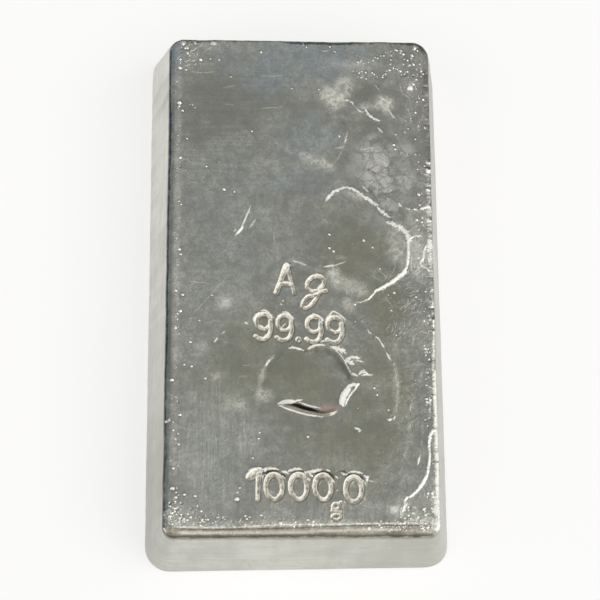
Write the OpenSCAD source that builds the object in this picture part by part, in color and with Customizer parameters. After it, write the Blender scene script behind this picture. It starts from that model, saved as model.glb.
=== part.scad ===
// Cast bar of fine silver, nominally 1 kg.
// The mould's floor shapes the marked face, which is the smaller one and faces up here.
// The poured face is the larger one and lies on the ground at z = 0.
// Origin: centre of the poured face. X is the width, Y the length, Z the thickness.

/* [Bar] */
// Length at the ground, between the planes of the end walls
base_l = 107; // [60:0.5:180]
// Width at the ground, between the planes of the side walls
base_w = 58; // [35:0.5:90]
// Thickness from the poured face to the marked face
bar_t = 16.75; // [8:0.05:28]

/* [Mould] */
// Lean of the walls away from upright, which lets the bar drop out, in degrees
draft_deg = 10.5; // [1:0.5:16]
// Plan radius of the corners at the marked face
face_corner_r = 2; // [1.5:0.1:8]

/* [Edges] */
// Radius that the metal draws round the marked face
rim_r = 1.2; // [0.3:0.1:1.5]
// Radius at the edge of the poured face
foot_r = 0.8; // [0.2:0.1:1.5]

/* [Hidden] */
arc_steps = 10;                             // straight steps in each edge radius
lean = bar_t * tan(draft_deg);              // how far a wall leans in over the thickness
base_corner_r = face_corner_r + lean;       // the corners are cones that share the walls' draft
straight_l = base_l - 2 * base_corner_r;    // between the corner axes, along Y
straight_w = base_w - 2 * base_corner_r;    // between the corner axes, along X

// How far an edge radius reaches from its corner along both of the sides it joins
rim_reach = rim_r * tan((90 - draft_deg) / 2);
foot_reach = foot_r * tan((90 + draft_deg) / 2);

// Points of an arc of radius r about c, from angle a0 to a1
function arc_points(c, r, a0, a1) =
    [for (i = [0 : arc_steps]) let (a = a0 + (a1 - a0) * i / arc_steps) c + r * [cos(a), sin(a)]];

// Section through one wall, from a corner axis at x = 0 out to the sloping face
module wall_section() {
    foot_c = [base_corner_r - foot_reach, foot_r];
    rim_c = [face_corner_r - rim_reach, bar_t - rim_r];
    polygon(concat(
        [[0, 0]],
        arc_points(foot_c, foot_r, -90, draft_deg),
        arc_points(rim_c, rim_r, draft_deg, 90),
        [[0, bar_t]]
    ));
}

// Section right across the bar: two walls, this far from the middle, and what lies between them
module full_section(half_span) {
    for (flip = [0, 1]) mirror([flip, 0, 0]) {
        translate([half_span, 0, 0]) wall_section();
        square([half_span, bar_t]);
    }
}

// The full section carried along Y for the given length
module slab(half_span, length) {
    translate([0, length / 2, 0]) rotate([90, 0, 0]) linear_extrude(length) full_section(half_span);
}

// Drafted corner post, turned about its upright axis
module corner_post() {
    rotate_extrude($fn = 96) wall_section();
}

// The whole bar is one casting: two slabs that cross, and a post in each corner
module bar() {
    color([0.78, 0.78, 0.76]) union() {
        slab(straight_w / 2, straight_l);
        rotate(90) slab(straight_l / 2, straight_w);
        for (x = [-1, 1], y = [-1, 1])
            translate([x * straight_w / 2, y * straight_l / 2, 0]) corner_post();
    }
}

bar();
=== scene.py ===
import math

import bpy
import numpy as np
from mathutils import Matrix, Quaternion, Vector
from mathutils.geometry import delaunay_2d_cdt


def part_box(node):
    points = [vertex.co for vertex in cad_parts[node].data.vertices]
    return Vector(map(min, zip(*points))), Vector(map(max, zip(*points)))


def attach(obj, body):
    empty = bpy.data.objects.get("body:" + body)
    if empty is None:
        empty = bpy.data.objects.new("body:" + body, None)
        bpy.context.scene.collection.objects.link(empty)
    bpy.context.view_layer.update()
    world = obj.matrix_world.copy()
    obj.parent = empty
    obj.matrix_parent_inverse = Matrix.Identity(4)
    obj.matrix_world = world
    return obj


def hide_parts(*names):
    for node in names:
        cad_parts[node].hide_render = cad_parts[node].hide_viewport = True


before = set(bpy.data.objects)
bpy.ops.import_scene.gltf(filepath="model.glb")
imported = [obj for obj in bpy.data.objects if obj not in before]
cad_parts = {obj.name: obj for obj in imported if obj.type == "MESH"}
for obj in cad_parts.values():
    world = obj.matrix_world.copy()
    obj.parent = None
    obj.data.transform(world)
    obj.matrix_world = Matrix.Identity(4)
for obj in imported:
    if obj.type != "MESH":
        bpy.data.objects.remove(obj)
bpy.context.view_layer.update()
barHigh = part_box("bar")[1]
scene = bpy.context.scene
scene.view_settings.view_transform = "Standard"
mm = 0.001


# camera: looks down on the bar from the front, a little from the left

cameraSetup = {
    "aim": (0.5, -1.4, 8.0),      # mm, a point in the bar
    "distance": 406.4,            # mm
    "azimuth": -11.9,             # degrees, 0 looks along the bar's length
    "elevation": 71.55,
    "roll": 12.1,
    "lens": 124.0,
}


def makeCamera(setup):
    turn = math.radians(setup["azimuth"])
    rise = math.radians(setup["elevation"])
    back = Vector((math.sin(turn) * math.cos(rise), -math.cos(turn) * math.cos(rise), math.sin(rise)))
    camera = bpy.data.objects.new("camera", bpy.data.cameras.new("camera"))
    scene.collection.objects.link(camera)
    camera.location = (Vector(setup["aim"]) + back * setup["distance"]) * mm
    camera.rotation_mode = "QUATERNION"
    level = (-back).to_track_quat("-Z", "Y")
    camera.rotation_quaternion = level @ Quaternion((0, 0, 1), math.radians(setup["roll"]))
    camera.data.lens = setup["lens"]
    camera.data.sensor_width = 36
    camera.data.clip_start = 0.01
    camera.data.clip_end = 20
    scene.camera = camera
    print("camera made")


makeCamera(cameraSetup)


# soft noise, curves and small shapes that the casting is drawn with, all in mm

def smooth(low, high, x):
    t = np.clip((x - low) / (high - low), 0, 1)
    return t * t * (3 - 2 * t)


# smooth noise of about -1 to 1, which repeats after 256 cells
def gradientNoise(x, y, cell, seed):
    turn = np.random.default_rng(seed).uniform(0, 2 * np.pi, (256, 256))
    x, y = x / cell + 64, y / cell + 64
    column, row = np.floor(x).astype(int), np.floor(y).astype(int)
    x, y = x - column, y - row
    fadeX = x ** 3 * (x * (x * 6 - 15) + 10)
    fadeY = y ** 3 * (y * (y * 6 - 15) + 10)
    total = 0
    for i in (0, 1):
        for j in (0, 1):
            angle = turn[(column + i) & 255, (row + j) & 255]
            weight = (fadeX if i else 1 - fadeX) * (fadeY if j else 1 - fadeY)
            total = total + weight * (np.cos(angle) * (x - i) + np.sin(angle) * (y - j))
    return total * 1.5


def rotate(x, y, degrees):
    turned = math.radians(degrees)
    return x * math.cos(turned) - y * math.sin(turned), x * math.sin(turned) + y * math.cos(turned)


# each octave is turned, so that the cells don't line up
def ripple(x, y, cell, octaves, seed):
    total = 0
    for k in range(octaves):
        total = total + gradientNoise(*rotate(x, y, 37 * k + 11), cell / 2 ** k, seed + k) / 2 ** k
    return total


curveStep = 0.3     # mm


# a smooth line through the points, cut into short straight steps
def softCurve(points, closed=False):
    points = np.array(points, float)
    if closed:
        points = np.vstack([points[-1:], points, points[:2]])
    else:
        points = np.vstack([2 * points[0] - points[1], points, 2 * points[-1] - points[-2]])
    pieces = []
    for k in range(1, len(points) - 2):
        a, b, c, d = points[k - 1:k + 3]
        count = max(2, math.ceil(np.linalg.norm(c - b) / curveStep))
        t = np.linspace(0, 1, count, endpoint=False)[:, None]
        pieces.append(b + 0.5 * t * (c - a + t * (2 * a - 5 * b + 4 * c - d + t * (3 * (b - c) + d - a))))
    pieces.append(points[-2:-1])
    return np.vstack(pieces)


def oval(radii, count, centre=(0, 0), tilt=0):
    angle = np.radians(np.linspace(0, 360, count))
    return centre + np.column_stack(rotate(radii[0] * np.cos(angle), radii[1] * np.sin(angle), tilt))


# distance from each point to the line, the side it lies on (1 is left of travel), how far along, 0 to 1,
# and how much the way from the line to the point is towards the upper left
def nearLine(across, along, line):
    best = np.full(across.shape, 1e9)
    side = np.zeros(across.shape)
    share = np.zeros(across.shape)
    upLeft = np.zeros(across.shape)
    steps = np.diff(line, axis=0)
    lengths = np.hypot(steps[:, 0], steps[:, 1])
    starts = np.concatenate([[0], np.cumsum(lengths)])
    for k, (corner, step) in enumerate(zip(line[:-1], steps)):
        a, b = across - corner[0], along - corner[1]
        t = np.clip((a * step[0] + b * step[1]) / lengths[k] ** 2, 0, 1)
        gap = (a - t * step[0]) ** 2 + (b - t * step[1]) ** 2
        closer = gap < best
        best[closer] = gap[closer]
        side[closer] = np.sign(step[0] * b - step[1] * a)[closer]
        share[closer] = ((starts[k] + t * lengths[k]) / starts[-1])[closer]
        upLeft[closer] = (0.8 * (b - t * step[1]) - 0.6 * (a - t * step[0]))[closer]
    gap = np.sqrt(best)
    return gap, side, share, upLeft / np.maximum(gap, 1e-6)


# which points are within this margin of the box round the line, and what nearLine says of them
def nearCurve(across, along, line, margin):
    low, high = line.min(axis=0) - margin, line.max(axis=0) + margin
    near = (across > low[0]) & (across < high[0]) & (along > low[1]) & (along < high[1])
    return near, *nearLine(across[near], along[near], line)


def lineLength(line):
    return np.hypot(*np.diff(line, axis=0).T).sum()


# share of a line's length from the nearer of its ends
def fromEnds(share):
    return np.minimum(share, 1 - share)


def hump(x, middle, width):
    return np.exp(-((x - middle) / width) ** 2)


# the bar's form in mm and degrees; its draft and its radii are those of the solid it stands for

barForm = {
    "draft": 10.5,
    "rimRadius": 1.2,
    "footRadius": 0.8,
    # plan radius of the mould's corners at the marked face
    "faceCorners": {"frontLeft": 2.0, "frontRight": 2.0, "backLeft": 2.7, "backRight": 3.3},
    # how square each corner is at its foot: 2 is round, more is squarer
    "footCorners": {"frontLeft": 2.0, "frontRight": 2.4, "backLeft": 3.8, "backRight": 2.4},
    # how far a side moves outward at its foot, at its front or left end and at its other end
    "footShift": {"left": (0.35, 0.5), "right": (0.4, -0.1), "front": (0.5, -0.1), "back": (0.0, 0.0)},
    # how much the ends turn and the sides lean over, as slopes
    "endTurn": 0.0105,
    "sideLean": 0.0022,
    # the rim on each side: its radius, how much that wavers, and the tilt at which the rim breaks away
    # on the right the radius changes between these places along the side
    "rimRadii": {"left": 0.85, "front": 2.8, "back": 0.5, "right": 0.75, "rightBack": 0.6},
    "rimChange": (44, 58),
    "rimWave": 0.12,
    "rimBreak": {"left": 2.0, "front": 10.0, "back": 1.0, "right": 1.0},
    # slow roll towards the rim: drop at the edge and width; on the right it starts between these places
    "rimRoll": {"left": (0.12, 1.4), "front": (0, 1), "back": (0.04, 1.2), "right": (0.14, 1.6)},
    "rollStart": (46, 58),
    # how dark the painted shade line is where the rim turns to the wall, and the tilts between which it fades
    # in and out
    # on the right only the back corner has one
    "rimShade": {"left": 1, "front": 0.5, "back": 0.3, "backRight": 3},
    "shadeTilts": ((36, 48), (68, 58)),
    # slow and fine waves of the casting: height and size; those of the right side are on the marked face
    "waves": {
        "faceSwell": (0.05, 17), "faceRipples": (0.006, 2.6), "rightSide": (0.010, 1.5),
        "wallSwell": (0.07, 9), "wallRipples": (0.035, 1.6), "pouredSwell": (0.22, 14),
    },
    "wallTilt": 52,         # where the rim's finish gives way to the wall's
    "sunken": 0.45,         # the middle of the poured face
}

# cells of the flat face are of about this size, and halved where the surface strays further from them
meshDetail = {
    "cell": 1.0,            # mm
    "halvings": 3,
    "tolerance": 0.009,     # mm
    "edgeWeight": 0.02,     # mm of bend that a white or dark edge counts as
    "rimRows": 9,           # rows of faces
    "wallRows": 3,
    "footRows": 3,
    "underPitch": 2.2,      # mm between points of the poured face
    "underClear": 1.2,      # mm that they keep from its round corners
}

draft = math.radians(barForm["draft"])
footReach = barForm["footRadius"] * math.tan(math.pi / 4 + draft / 2)
rimReach = barForm["rimRadius"] * math.tan(math.pi / 4 - draft / 2)
thickness = barHigh.z / mm
lean = thickness * math.tan(draft)
faceWidth = 2 * (barHigh.x / mm + footReach - barForm["footRadius"] - lean)
faceLength = 2 * (barHigh.y / mm + footReach - barForm["footRadius"] - lean)


# places on the marked face are (across, along) in mm from its front left corner

# struck marks: plain strokes, cut as round-bottomed grooves
# each stroke is a line and how wide it is beside the mark's own width

def figureNine():
    bowl = oval((1.32, 1.52), 40)
    tail = softCurve([(1.32, 0.2), (1.42, -1.4), (1.0, -2.8), (0.1, -3.45), (-0.8, -3.4), (-1.5, -2.9)])
    return [(bowl, 1), (tail, 1.15)]


def figureZero():
    return [(oval((1.53, 2.33), 48), 1)]


def figureOne():
    flag = softCurve([(-1.5, 2.0), (-0.9, 2.5), (0.1, 2.9)])
    stem = np.array([(0.15, 2.5), (0, 1.0), (-0.1, -2.3)])
    return [(flag, 1.45), (stem, 0.9)]


def letterA():
    left = np.array([(-1.75, -2.7), (0.15, 2.7)])
    right = np.array([(0.25, 2.7), (1.75, -2.9)])
    bar = np.array([(-1.0, -1.0), (1.05, -1.0)])
    return [(left, 1.15), (right, 0.8), (bar, 1)]


def scriptG():
    bowl = oval((1.75, 1.38), 40, tilt=35)
    tail = softCurve([(2.0, -1.4), (0.9, -1.6), (-0.1, -2.3), (-1.4, -2.6), (-2.3, -3.6), (-2.5, -4.6),
                      (-1.7, -4.9), (-0.5, -3.9), (0.3, -2.6), (0.9, -1.5)])
    return [(bowl, 1), (tail, 1.05)]


def smallG():
    upper = oval((0.62, 0.55), 20, centre=(0.05, 0.9))
    lower = oval((0.8, 0.55), 20, centre=(0, -1.1))
    ear = np.array([(0.5, 1.35), (1.0, 1.6)])
    neck = softCurve([(-0.6, 0.4), (-0.75, 0.05), (0, -0.1), (0.8, -0.15)])
    return [(upper, 1), (lower, 1), (ear, 1), (neck, 1)]


def point():
    return [(oval((0.34, 0.38), 12), 1)]


# strokes, where the mark's centre goes, stroke width, depth, turn in degrees, lip pushed up at its head
struckMarks = [
    (letterA(), (22.95, 50.3), 0.72, 0.30, -1, 0.06),
    (scriptG(), (28.7, 49.4), 0.62, 0.26, 0, 0.06),
    (figureNine(), (18.7, 41.7), 0.62, 0.28, -1, 0.07),
    (figureNine(), (22.7, 41.5), 0.58, 0.26, 0, 0.06),
    (point(), (25.4, 38.1), 0.40, 0.20, 8, 0.05),
    (figureNine(), (28.35, 41.2), 0.62, 0.28, 1, 0.07),
    (figureNine(), (32.35, 41.1), 0.62, 0.30, 2, 0.08),
    (figureOne(), (17.75, 9.4), 0.78, 0.28, 0, 0.10),
    (figureZero(), (20.7, 9.4), 0.70, 0.30, 3, 0.08),
    (figureZero(), (25.3, 9.4), 0.70, 0.30, 2, 0.08),
    (figureZero(), (29.85, 9.3), 0.70, 0.30, 3, 0.08),
    (figureZero(), (35.6, 8.9), 0.70, 0.30, 0, 0.08),
    (smallG(), (32.25, 4.8), 0.42, 0.18, 2, 0.04),
]


# line where the face meets the front rim
frontSeam = [
    (2.2, 2.0), (9.0, 1.85), (14.0, 1.9), (20.0, 2.2), (26.0, 2.3), (32.0, 2.35), (38.0, 2.45),
    (44.0, 2.5), (49.4, 2.5),
]

# laps: where one flow of metal stopped against another; travel has the raised side on its left
# height of the step, width of its slope, how far it fades back, points
coldLaps = [
    # large lobe, from its foot round the nose to its head and back
    (0.07, 0.6, 1.3, [(35.4, 45.3), (37.4, 45.8), (38.9, 46.4), (40.3, 48.0), (42.3, 49.2), (44.1, 50.4),
        (45.8, 51.9), (46.5, 53.5), (46.8, 55.4), (46.8, 57.5), (46.5, 59.6), (45.7, 60.9), (44.4, 61.7),
        (43.0, 63.3), (41.6, 64.8), (40.1, 66.2), (38.3, 67.6), (36.6, 68.9), (34.9, 69.4), (33.2, 69.0),
        (31.8, 68.0), (30.6, 66.3)]),
    # middle flow, its front and its edge
    (0.03, 0.6, 2.0, [(42.2, 22.6), (43.7, 24.3), (44.2, 27.2), (44.2, 29.6), (43.9, 32.0),
        (43.2, 34.2)]),
    (0.06, 0.5, 1.6, [(43.2, 34.2), (42.4, 35.7), (41.5, 37.4), (40.6, 38.4), (39.5, 39.1), (38.7, 40.1),
        (38.2, 41.0), (37.4, 42.4), (36.1, 43.9)]),
    # right edge flow and the soft ones beside it
    (0.10, 0.6, 1.6, [(43.6, 3.8), (44.6, 4.8), (45.2, 6.2), (45.4, 7.2), (46.9, 8.1), (48.5, 10.0),
        (49.2, 11.4), (49.6, 13.0), (49.9, 15.1), (49.9, 17.3), (50.2, 19.1), (50.7, 20.4)]),
    (0.014, 0.5, 1.2, [(44.4, 13.1), (45.3, 15.2), (45.9, 17.6), (46.1, 20.6), (46.3, 23.9), (46.8, 26.0),
        (47.7, 28.1)]),
    (0.02, 0.5, 1.2, [(47.7, 13.4), (48.3, 16.1), (48.7, 19.1), (48.8, 22.1)]),
    # back right flow
    (0.05, 0.5, 1.4, [(42.2, 81.0), (41.4, 82.2), (41.5, 83.7), (40.2, 84.4), (38.9, 85.9), (37.8, 85.7),
        (36.7, 86.8), (35.5, 88.0), (34.0, 88.0)]),
    # round flow by the head
    (0.07, 0.8, 2.0, [(31.0, 73.0), (33.0, 75.2), (34.6, 78.2), (35.2, 81.0), (34.6, 83.2), (33.0, 84.7),
        (30.6, 85.7), (28.0, 85.9)]),
    # step at the right edge
    (0.08, 0.4, 1.0, [(51.3, 66.6), (49.9, 65.2), (47.9, 65.0), (46.0, 65.3), (45.2, 66.2)]),
    (0.04, 0.25, 0.9, frontSeam),
]

# thin lines: painted highlights along crests and lips, painted shade along dents and hollows, and dark
# borders between crystals half width, height (below 0 it cuts in), how strong the painted highlight is (below
# 0, how dark the line is), how broken, points
edgeLines = [
    # large lobe
    (0.13, 0.03, 0.45, 0.3, [(35.6, 45.3), (36.3, 45.7), (37.5, 45.8), (38.9, 46.5), (40.2, 47.8)]),
    (0.30, 0.10, 1.0, 0.1, [(40.2, 48.0), (41.2, 48.5), (42.3, 49.2), (42.9, 49.5), (44.1, 50.4),
        (44.9, 51.1), (45.8, 51.9), (46.3, 52.8)]),
    (0.20, 0.06, 0.75, 0.25, [(46.2, 52.6), (46.6, 53.8), (46.7, 55.4), (46.8, 56.9), (46.8, 58.5)]),
    (0.45, 0.10, 0.95, 0.35, [(47.1, 58.4), (46.6, 59.8), (45.8, 60.8), (44.7, 61.5), (43.8, 61.9),
        (42.8, 62.1)]),
    (0.20, 0.05, 0.7, 0.5, [(47.1, 58.8), (48.1, 59.3), (49.2, 59.5)]),
    (0.30, 0.07, 1.0, 0.45, [(43.4, 63.2), (42.4, 64.0), (41.7, 64.5), (40.9, 65.3)]),
    (0.36, 0.08, 1.0, 0.3, [(41.0, 65.7), (40.1, 66.2), (39.3, 66.9), (38.3, 67.5)]),
    (0.25, 0.06, 1.0, 0.25, [(38.8, 67.2), (37.8, 68.0), (36.7, 68.8), (35.1, 69.4), (33.3, 69.0),
        (31.9, 68.0), (30.8, 66.5)]),
    (0.13, 0.04, 0.6, 0.2, [(36.6, 68.3), (37.8, 67.6), (38.9, 67.2)]),
    (0.13, 0.04, 0.8, 0.2, [(38.0, 69.8), (38.8, 68.9), (39.3, 68.5)]),
    (0.10, 0.03, 0.5, 0.2, [(47.3, 55.2), (47.3, 52.2)]),
    # middle flow
    (0.16, 0.05, 0.95, 0.9, [(43.6, 33.3), (43.0, 34.1), (42.2, 35.6), (41.9, 36.3), (40.7, 38.4),
        (39.1, 39.6), (38.6, 40.3)]),
    (0.35, 0.02, 0.15, 0.6, [(38.4, 40.8), (37.4, 42.4), (36.8, 43.2), (36.1, 43.9)]),
    (0.34, 0.01, 0.06, 0.8, [(43.0, 34.6), (44.0, 31.7), (44.2, 29.6), (44.2, 27.2), (43.7, 24.5)]),
    (0.12, 0.01, 0.14, 0.5, [(44.4, 13.1), (45.3, 15.2), (45.9, 17.6), (46.1, 20.6), (46.3, 23.9),
        (46.8, 26.0), (47.7, 28.1)]),
    (0.12, 0.01, 0.10, 0.5, [(47.9, 14.5), (48.3, 16.1), (48.7, 19.1), (48.8, 22.1)]),
    (0.12, 0.04, 0.9, 0, [(48.0, 15.1), (47.7, 13.6)]),
    # right edge
    (0.24, 0.07, 1.0, 0.15, [(47.7, 9.0), (48.5, 10.1), (49.3, 11.6)]),
    (0.15, 0.07, 0.95, 0.2, [(49.4, 11.6), (49.7, 13.2), (49.9, 14.6), (50.0, 16.0)]),
    (0.11, 0.05, 0.8, 0.4, [(50.0, 16.0), (49.9, 17.2), (49.8, 18.2)]),
    (0.17, 0.07, 0.95, 0.2, [(49.9, 18.0), (50.1, 19.2), (50.7, 20.5)]),
    (0.15, 0.04, 0.55, 1.2, [(44.0, 4.3), (45.1, 5.4), (45.4, 6.6), (45.1, 7.2), (46.5, 7.7),
        (47.7, 8.9)]),
    (0.45, 0.04, 0.5, 1.4, [(42.4, 5.6), (43.2, 5.0), (44.0, 4.4)]),
    (0.50, 0.05, 1.0, 0.55, [(51.3, 1.6), (51.2, 3.3), (51.1, 5.4), (51.3, 7.4), (51.5, 9.8)]),
    (0.32, 0.03, 1.0, 0.5, [(51.5, 9.5), (51.6, 12.7), (51.5, 15.7), (51.6, 18.7), (51.6, 21.5)]),
    (0.22, 0.03, 1.0, 0.25, [(51.6, 21.0), (51.5, 24.5), (51.4, 26.6), (51.5, 29.3), (51.5, 32.2)]),
    (0.14, 0.04, 0.9, 0.8, [(50.2, 22.8), (50.3, 24.5), (50.3, 26.8)]),
    (0.14, 0.05, 0.9, 0.2, [(50.4, 57.5), (49.9, 56.3), (49.7, 54.8), (49.2, 54.2), (49.2, 53.4),
        (49.8, 53.0), (50.4, 52.8), (50.6, 52.3)]),
    (0.22, 0.08, 0.85, 0.9, [(51.3, 66.6), (50.9, 65.8), (49.8, 65.1), (47.9, 65.0), (46.0, 65.3),
        (45.2, 66.2)]),
    # back right
    (0.15, 0.06, 0.95, 0.6, [(34.2, 87.9), (35.7, 87.9), (36.7, 86.8), (37.8, 85.6), (38.4, 85.4)]),
    (0.26, 0.07, 1.0, 0.2, [(38.9, 86.0), (39.3, 85.2), (39.8, 84.7), (40.6, 84.0), (41.6, 83.7)]),
    (0.20, 0.06, 0.95, 0.2, [(41.4, 82.0), (42.1, 81.2)]),
    (0.10, 0.04, 0.5, 0.3, [(40.7, 91.6), (42.0, 89.9)]),
    (0.16, 0.05, 0.75, 0.2, [(42.0, 88.8), (43.0, 87.8)]),
    (0.16, 0.05, 0.7, 0.2, [(43.2, 86.5), (44.1, 85.0), (44.8, 84.2)]),
    (0.10, 0.03, 0.35, 0.4, [(46.2, 87.6), (47.6, 85.7), (47.9, 83.1)]),
    (0.12, 0.03, 0.35, 0.4, [(45.8, 91.5), (46.4, 89.6), (47.8, 88.6)]),
    (0.18, 0.02, 0.30, 0.4, [(32.8, 77.8), (33.9, 77.8), (34.8, 79.4), (35.2, 81.4)]),
    (0.14, 0.02, 0.35, 0.5, [(37.9, 77.4), (40.2, 77.8), (42.1, 78.2)]),
    # borders between large crystals
    (0.16, -0.01, -0.34, 0.3, [(37.9, 70.7), (39.6, 70.8), (41.3, 71.0), (42.4, 71.7), (44.5, 72.0),
        (46.8, 72.3)]),
    (0.16, -0.01, -0.34, 0.2, [(42.4, 71.7), (41.3, 72.1), (40.1, 72.9)]),
    (0.14, -0.01, -0.32, 0.2, [(39.0, 73.0), (40.4, 73.8), (41.7, 74.5)]),
    (0.14, -0.01, -0.26, 0.4, [(41.4, 71.0), (41.4, 69.5), (41.0, 67.2)]),
    (0.14, -0.01, -0.24, 0.4, [(42.5, 71.6), (42.9, 70.1), (43.2, 67.2)]),
    (0.12, -0.01, -0.22, 0.3, [(44.5, 72.0), (44.7, 69.5)]),
    (0.12, -0.01, -0.22, 0.3, [(43.0, 72.0), (43.4, 73.8), (42.8, 75.4)]),
    (0.12, -0.01, -0.20, 0.3, [(45.0, 72.2), (45.6, 74.2)]),
    # over the weight: painted shade in the dents, then painted highlights on the lips above them
    (0.14, -0.06, -1.0, 0.1, [(18.2, 12.0), (18.8, 12.2), (19.7, 12.45), (20.4, 12.55), (21.1, 12.5),
        (21.7, 12.2)]),
    (0.12, -0.05, -1.0, 0.1, [(22.0, 12.1), (22.5, 11.8), (22.9, 11.3)]),
    (0.10, -0.06, -0.8, 0.3, [(24.0, 12.2), (24.8, 12.45), (25.5, 12.55), (26.2, 12.4)]),
    (0.14, -0.06, -1.0, 0.1, [(28.2, 11.9), (29.0, 12.15), (30.0, 12.4), (30.6, 12.3), (31.2, 11.95),
        (31.6, 11.6), (31.9, 11.0)]),
    (0.10, -0.05, -0.8, 0.1, [(32.2, 12.1), (32.8, 12.4), (33.4, 12.5), (33.9, 12.4), (34.3, 12.1)]),
    (0.13, -0.06, -1.0, 0.1, [(34.0, 11.3), (34.6, 11.7), (35.5, 11.85), (36.4, 11.75), (37.1, 11.3),
        (37.6, 10.7)]),
    (0.11, -0.05, -0.8, 0.1, [(16.3, 12.3), (16.8, 12.6), (17.3, 12.9)]),
    (0.20, 0.06, 1.0, 0.1, [(18.4, 12.75), (19.3, 12.95), (20.1, 13.0), (20.8, 12.95), (21.4, 12.8)]),
    (0.26, 0.06, 1.0, 0.1, [(22.1, 12.4), (22.7, 12.3), (23.2, 12.0)]),
    (0.22, 0.06, 1.0, 0.1, [(23.3, 12.5), (24.3, 12.8), (25.2, 12.9), (25.8, 12.8)]),
    (0.24, 0.06, 1.0, 0.15, [(26.5, 12.3), (27.1, 12.3), (27.7, 12.4), (28.4, 12.6), (29.5, 12.8)]),
    (0.28, 0.06, 1.0, 0, [(27.2, 12.1), (27.7, 11.6)]),
    (0.20, 0.05, 1.0, 0, [(30.5, 12.7), (31.1, 12.5)]),
    (0.20, 0.05, 1.0, 0.1, [(32.2, 11.5), (32.6, 11.1)]),
    (0.20, 0.05, 1.0, 0.1, [(31.4, 11.0), (31.8, 10.5)]),
    (0.22, 0.05, 1.0, 0.1, [(33.3, 12.1), (33.9, 11.85), (34.3, 11.9)]),
    (0.15, 0.05, 1.0, 0.3, [(34.6, 12.15), (35.6, 12.35), (36.3, 12.25), (37.3, 12.0)]),
    (0.28, 0.06, 1.0, 0, [(37.6, 11.6), (38.1, 11.2), (38.0, 10.7)]),
    (0.10, 0.03, 0.8, 0.2, [(38.2, 10.7), (39.5, 10.4)]),
    (0.18, 0.05, 1.0, 0.1, [(15.9, 12.5), (16.4, 12.85), (17.2, 13.05)]),
    (0.14, 0.04, 0.95, 0.4, [(15.8, 12.2), (15.6, 11.6), (15.75, 10.9)]),
    # painted highlights on the crests over the nines and on the sides of their bowls
    (0.18, 0.05, 1.0, 0, [(16.9, 41.6), (16.8, 42.4), (17.2, 43.1), (17.7, 43.6)]),
    (0.17, 0.05, 1.0, 0, [(18.1, 43.9), (18.8, 44.1), (19.4, 43.8), (19.9, 43.3), (20.3, 42.6)]),
    (0.15, 0.05, 0.95, 0.1, [(21.5, 43.0), (21.2, 42.3), (21.1, 41.7), (21.2, 41.1)]),
    (0.16, 0.05, 1.0, 0, [(22.3, 43.7), (23.1, 43.7), (23.7, 43.2), (24.1, 42.7), (24.3, 42.3)]),
    (0.14, 0.04, 0.9, 0.2, [(27.6, 43.0), (27.0, 42.5), (26.7, 41.9), (26.7, 41.2)]),
    (0.16, 0.05, 1.0, 0, [(28.0, 43.4), (28.7, 43.2), (29.5, 42.8), (29.9, 42.3), (29.9, 41.8)]),
    (0.15, 0.05, 1.0, 0.1, [(30.6, 41.2), (30.7, 42.3), (31.4, 43.2), (32.0, 43.9), (32.7, 43.6),
        (33.5, 43.1), (34.5, 42.1)]),
    (0.20, 0.05, 1.0, 0.3, [(29.6, 37.7), (30.2, 38.0), (31.1, 38.1)]),
    # along the front seam: a painted highlight, painted shade below it, and a fainter painted highlight on
    # the rim
    (0.14, 0.03, 0.7, 0.6, frontSeam),
    (0.13, -0.03, -0.62, 0.2, [(2.2, 1.6), (9.0, 1.45), (14.0, 1.5), (20.0, 1.6), (24.9, 1.7),
        (28.0, 1.85), (34.2, 2.05), (40.4, 2.15), (44.8, 2.1), (49.0, 2.0)]),
    (0.24, 0.01, 0.42, 0.02, [(3.0, 0.95), (10.0, 0.85), (17.0, 0.8), (23.3, 0.85), (28.0, 1.0),
        (34.2, 1.25), (40.4, 1.3), (44.0, 1.3)]),
    # round the pool: painted highlights on its rim, and painted shade inside its far arc and along its left
    # side
    (0.22, 0.06, 1.0, 0.1, [(23.5, 36.5), (24.1, 36.6), (24.6, 36.6), (25.3, 36.4), (26.2, 36.1)]),
    (0.18, 0.06, 1.0, 0.1, [(27.1, 36.3), (28.0, 36.9), (29.2, 37.2), (30.4, 37.1)]),
    (0.45, 0, -0.35, 0.2, [(26.6, 35.7), (28.4, 36.2), (30.4, 36.1), (32.0, 35.4), (33.2, 34.0),
        (34.3, 32.2), (35.0, 30.4)]),
    (0.36, 0.06, 1.0, 0.3, [(31.7, 36.8), (32.9, 36.4), (33.6, 36.2), (34.3, 35.6)]),
    (0.28, 0.06, 1.0, 0.2, [(34.5, 34.4), (35.8, 34.7), (37.0, 34.5)]),
    (0.34, 0.07, 1.0, 0.2, [(34.1, 34.0), (34.9, 33.9), (35.8, 33.3)]),
    (0.12, 0.05, 0.9, 0.2, [(36.2, 34.1), (37.8, 33.8)]),
    (0.30, 0.07, 1.0, 0.1, [(35.6, 31.5), (36.4, 31.1)]),
    (0.34, 0.07, 1.0, 0.2, [(36.9, 31.4), (37.5, 31.9), (38.4, 31.5)]),
    (0.20, 0.06, 1.0, 0.3, [(37.3, 31.1), (38.2, 31.3), (39.4, 31.2)]),
    (0.30, 0.08, 1.0, 0, [(36.7, 29.4), (35.1, 29.1), (34.2, 28.1), (33.5, 27.0), (33.3, 25.8),
        (33.7, 25.2)]),
    (0.46, 0.05, 1.0, 0, [(35.0, 28.4), (34.2, 27.2), (33.7, 26.0), (33.7, 25.2)]),
    (0.10, 0.02, 0.75, 0.1, [(32.2, 36.3), (33.6, 34.9), (34.7, 32.8), (35.6, 31.0)]),
    (0.14, 0.05, 0.9, 0.1, [(36.7, 29.6), (36.0, 28.4), (35.3, 27.5), (34.6, 26.4), (34.1, 25.2)]),
    (0.32, 0.01, 0.24, 0.3, [(20.8, 35.2), (19.3, 33.4), (18.6, 32.1), (18.1, 30.4), (17.8, 28.6),
        (18.2, 27.0), (19.4, 26.0)]),
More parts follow.
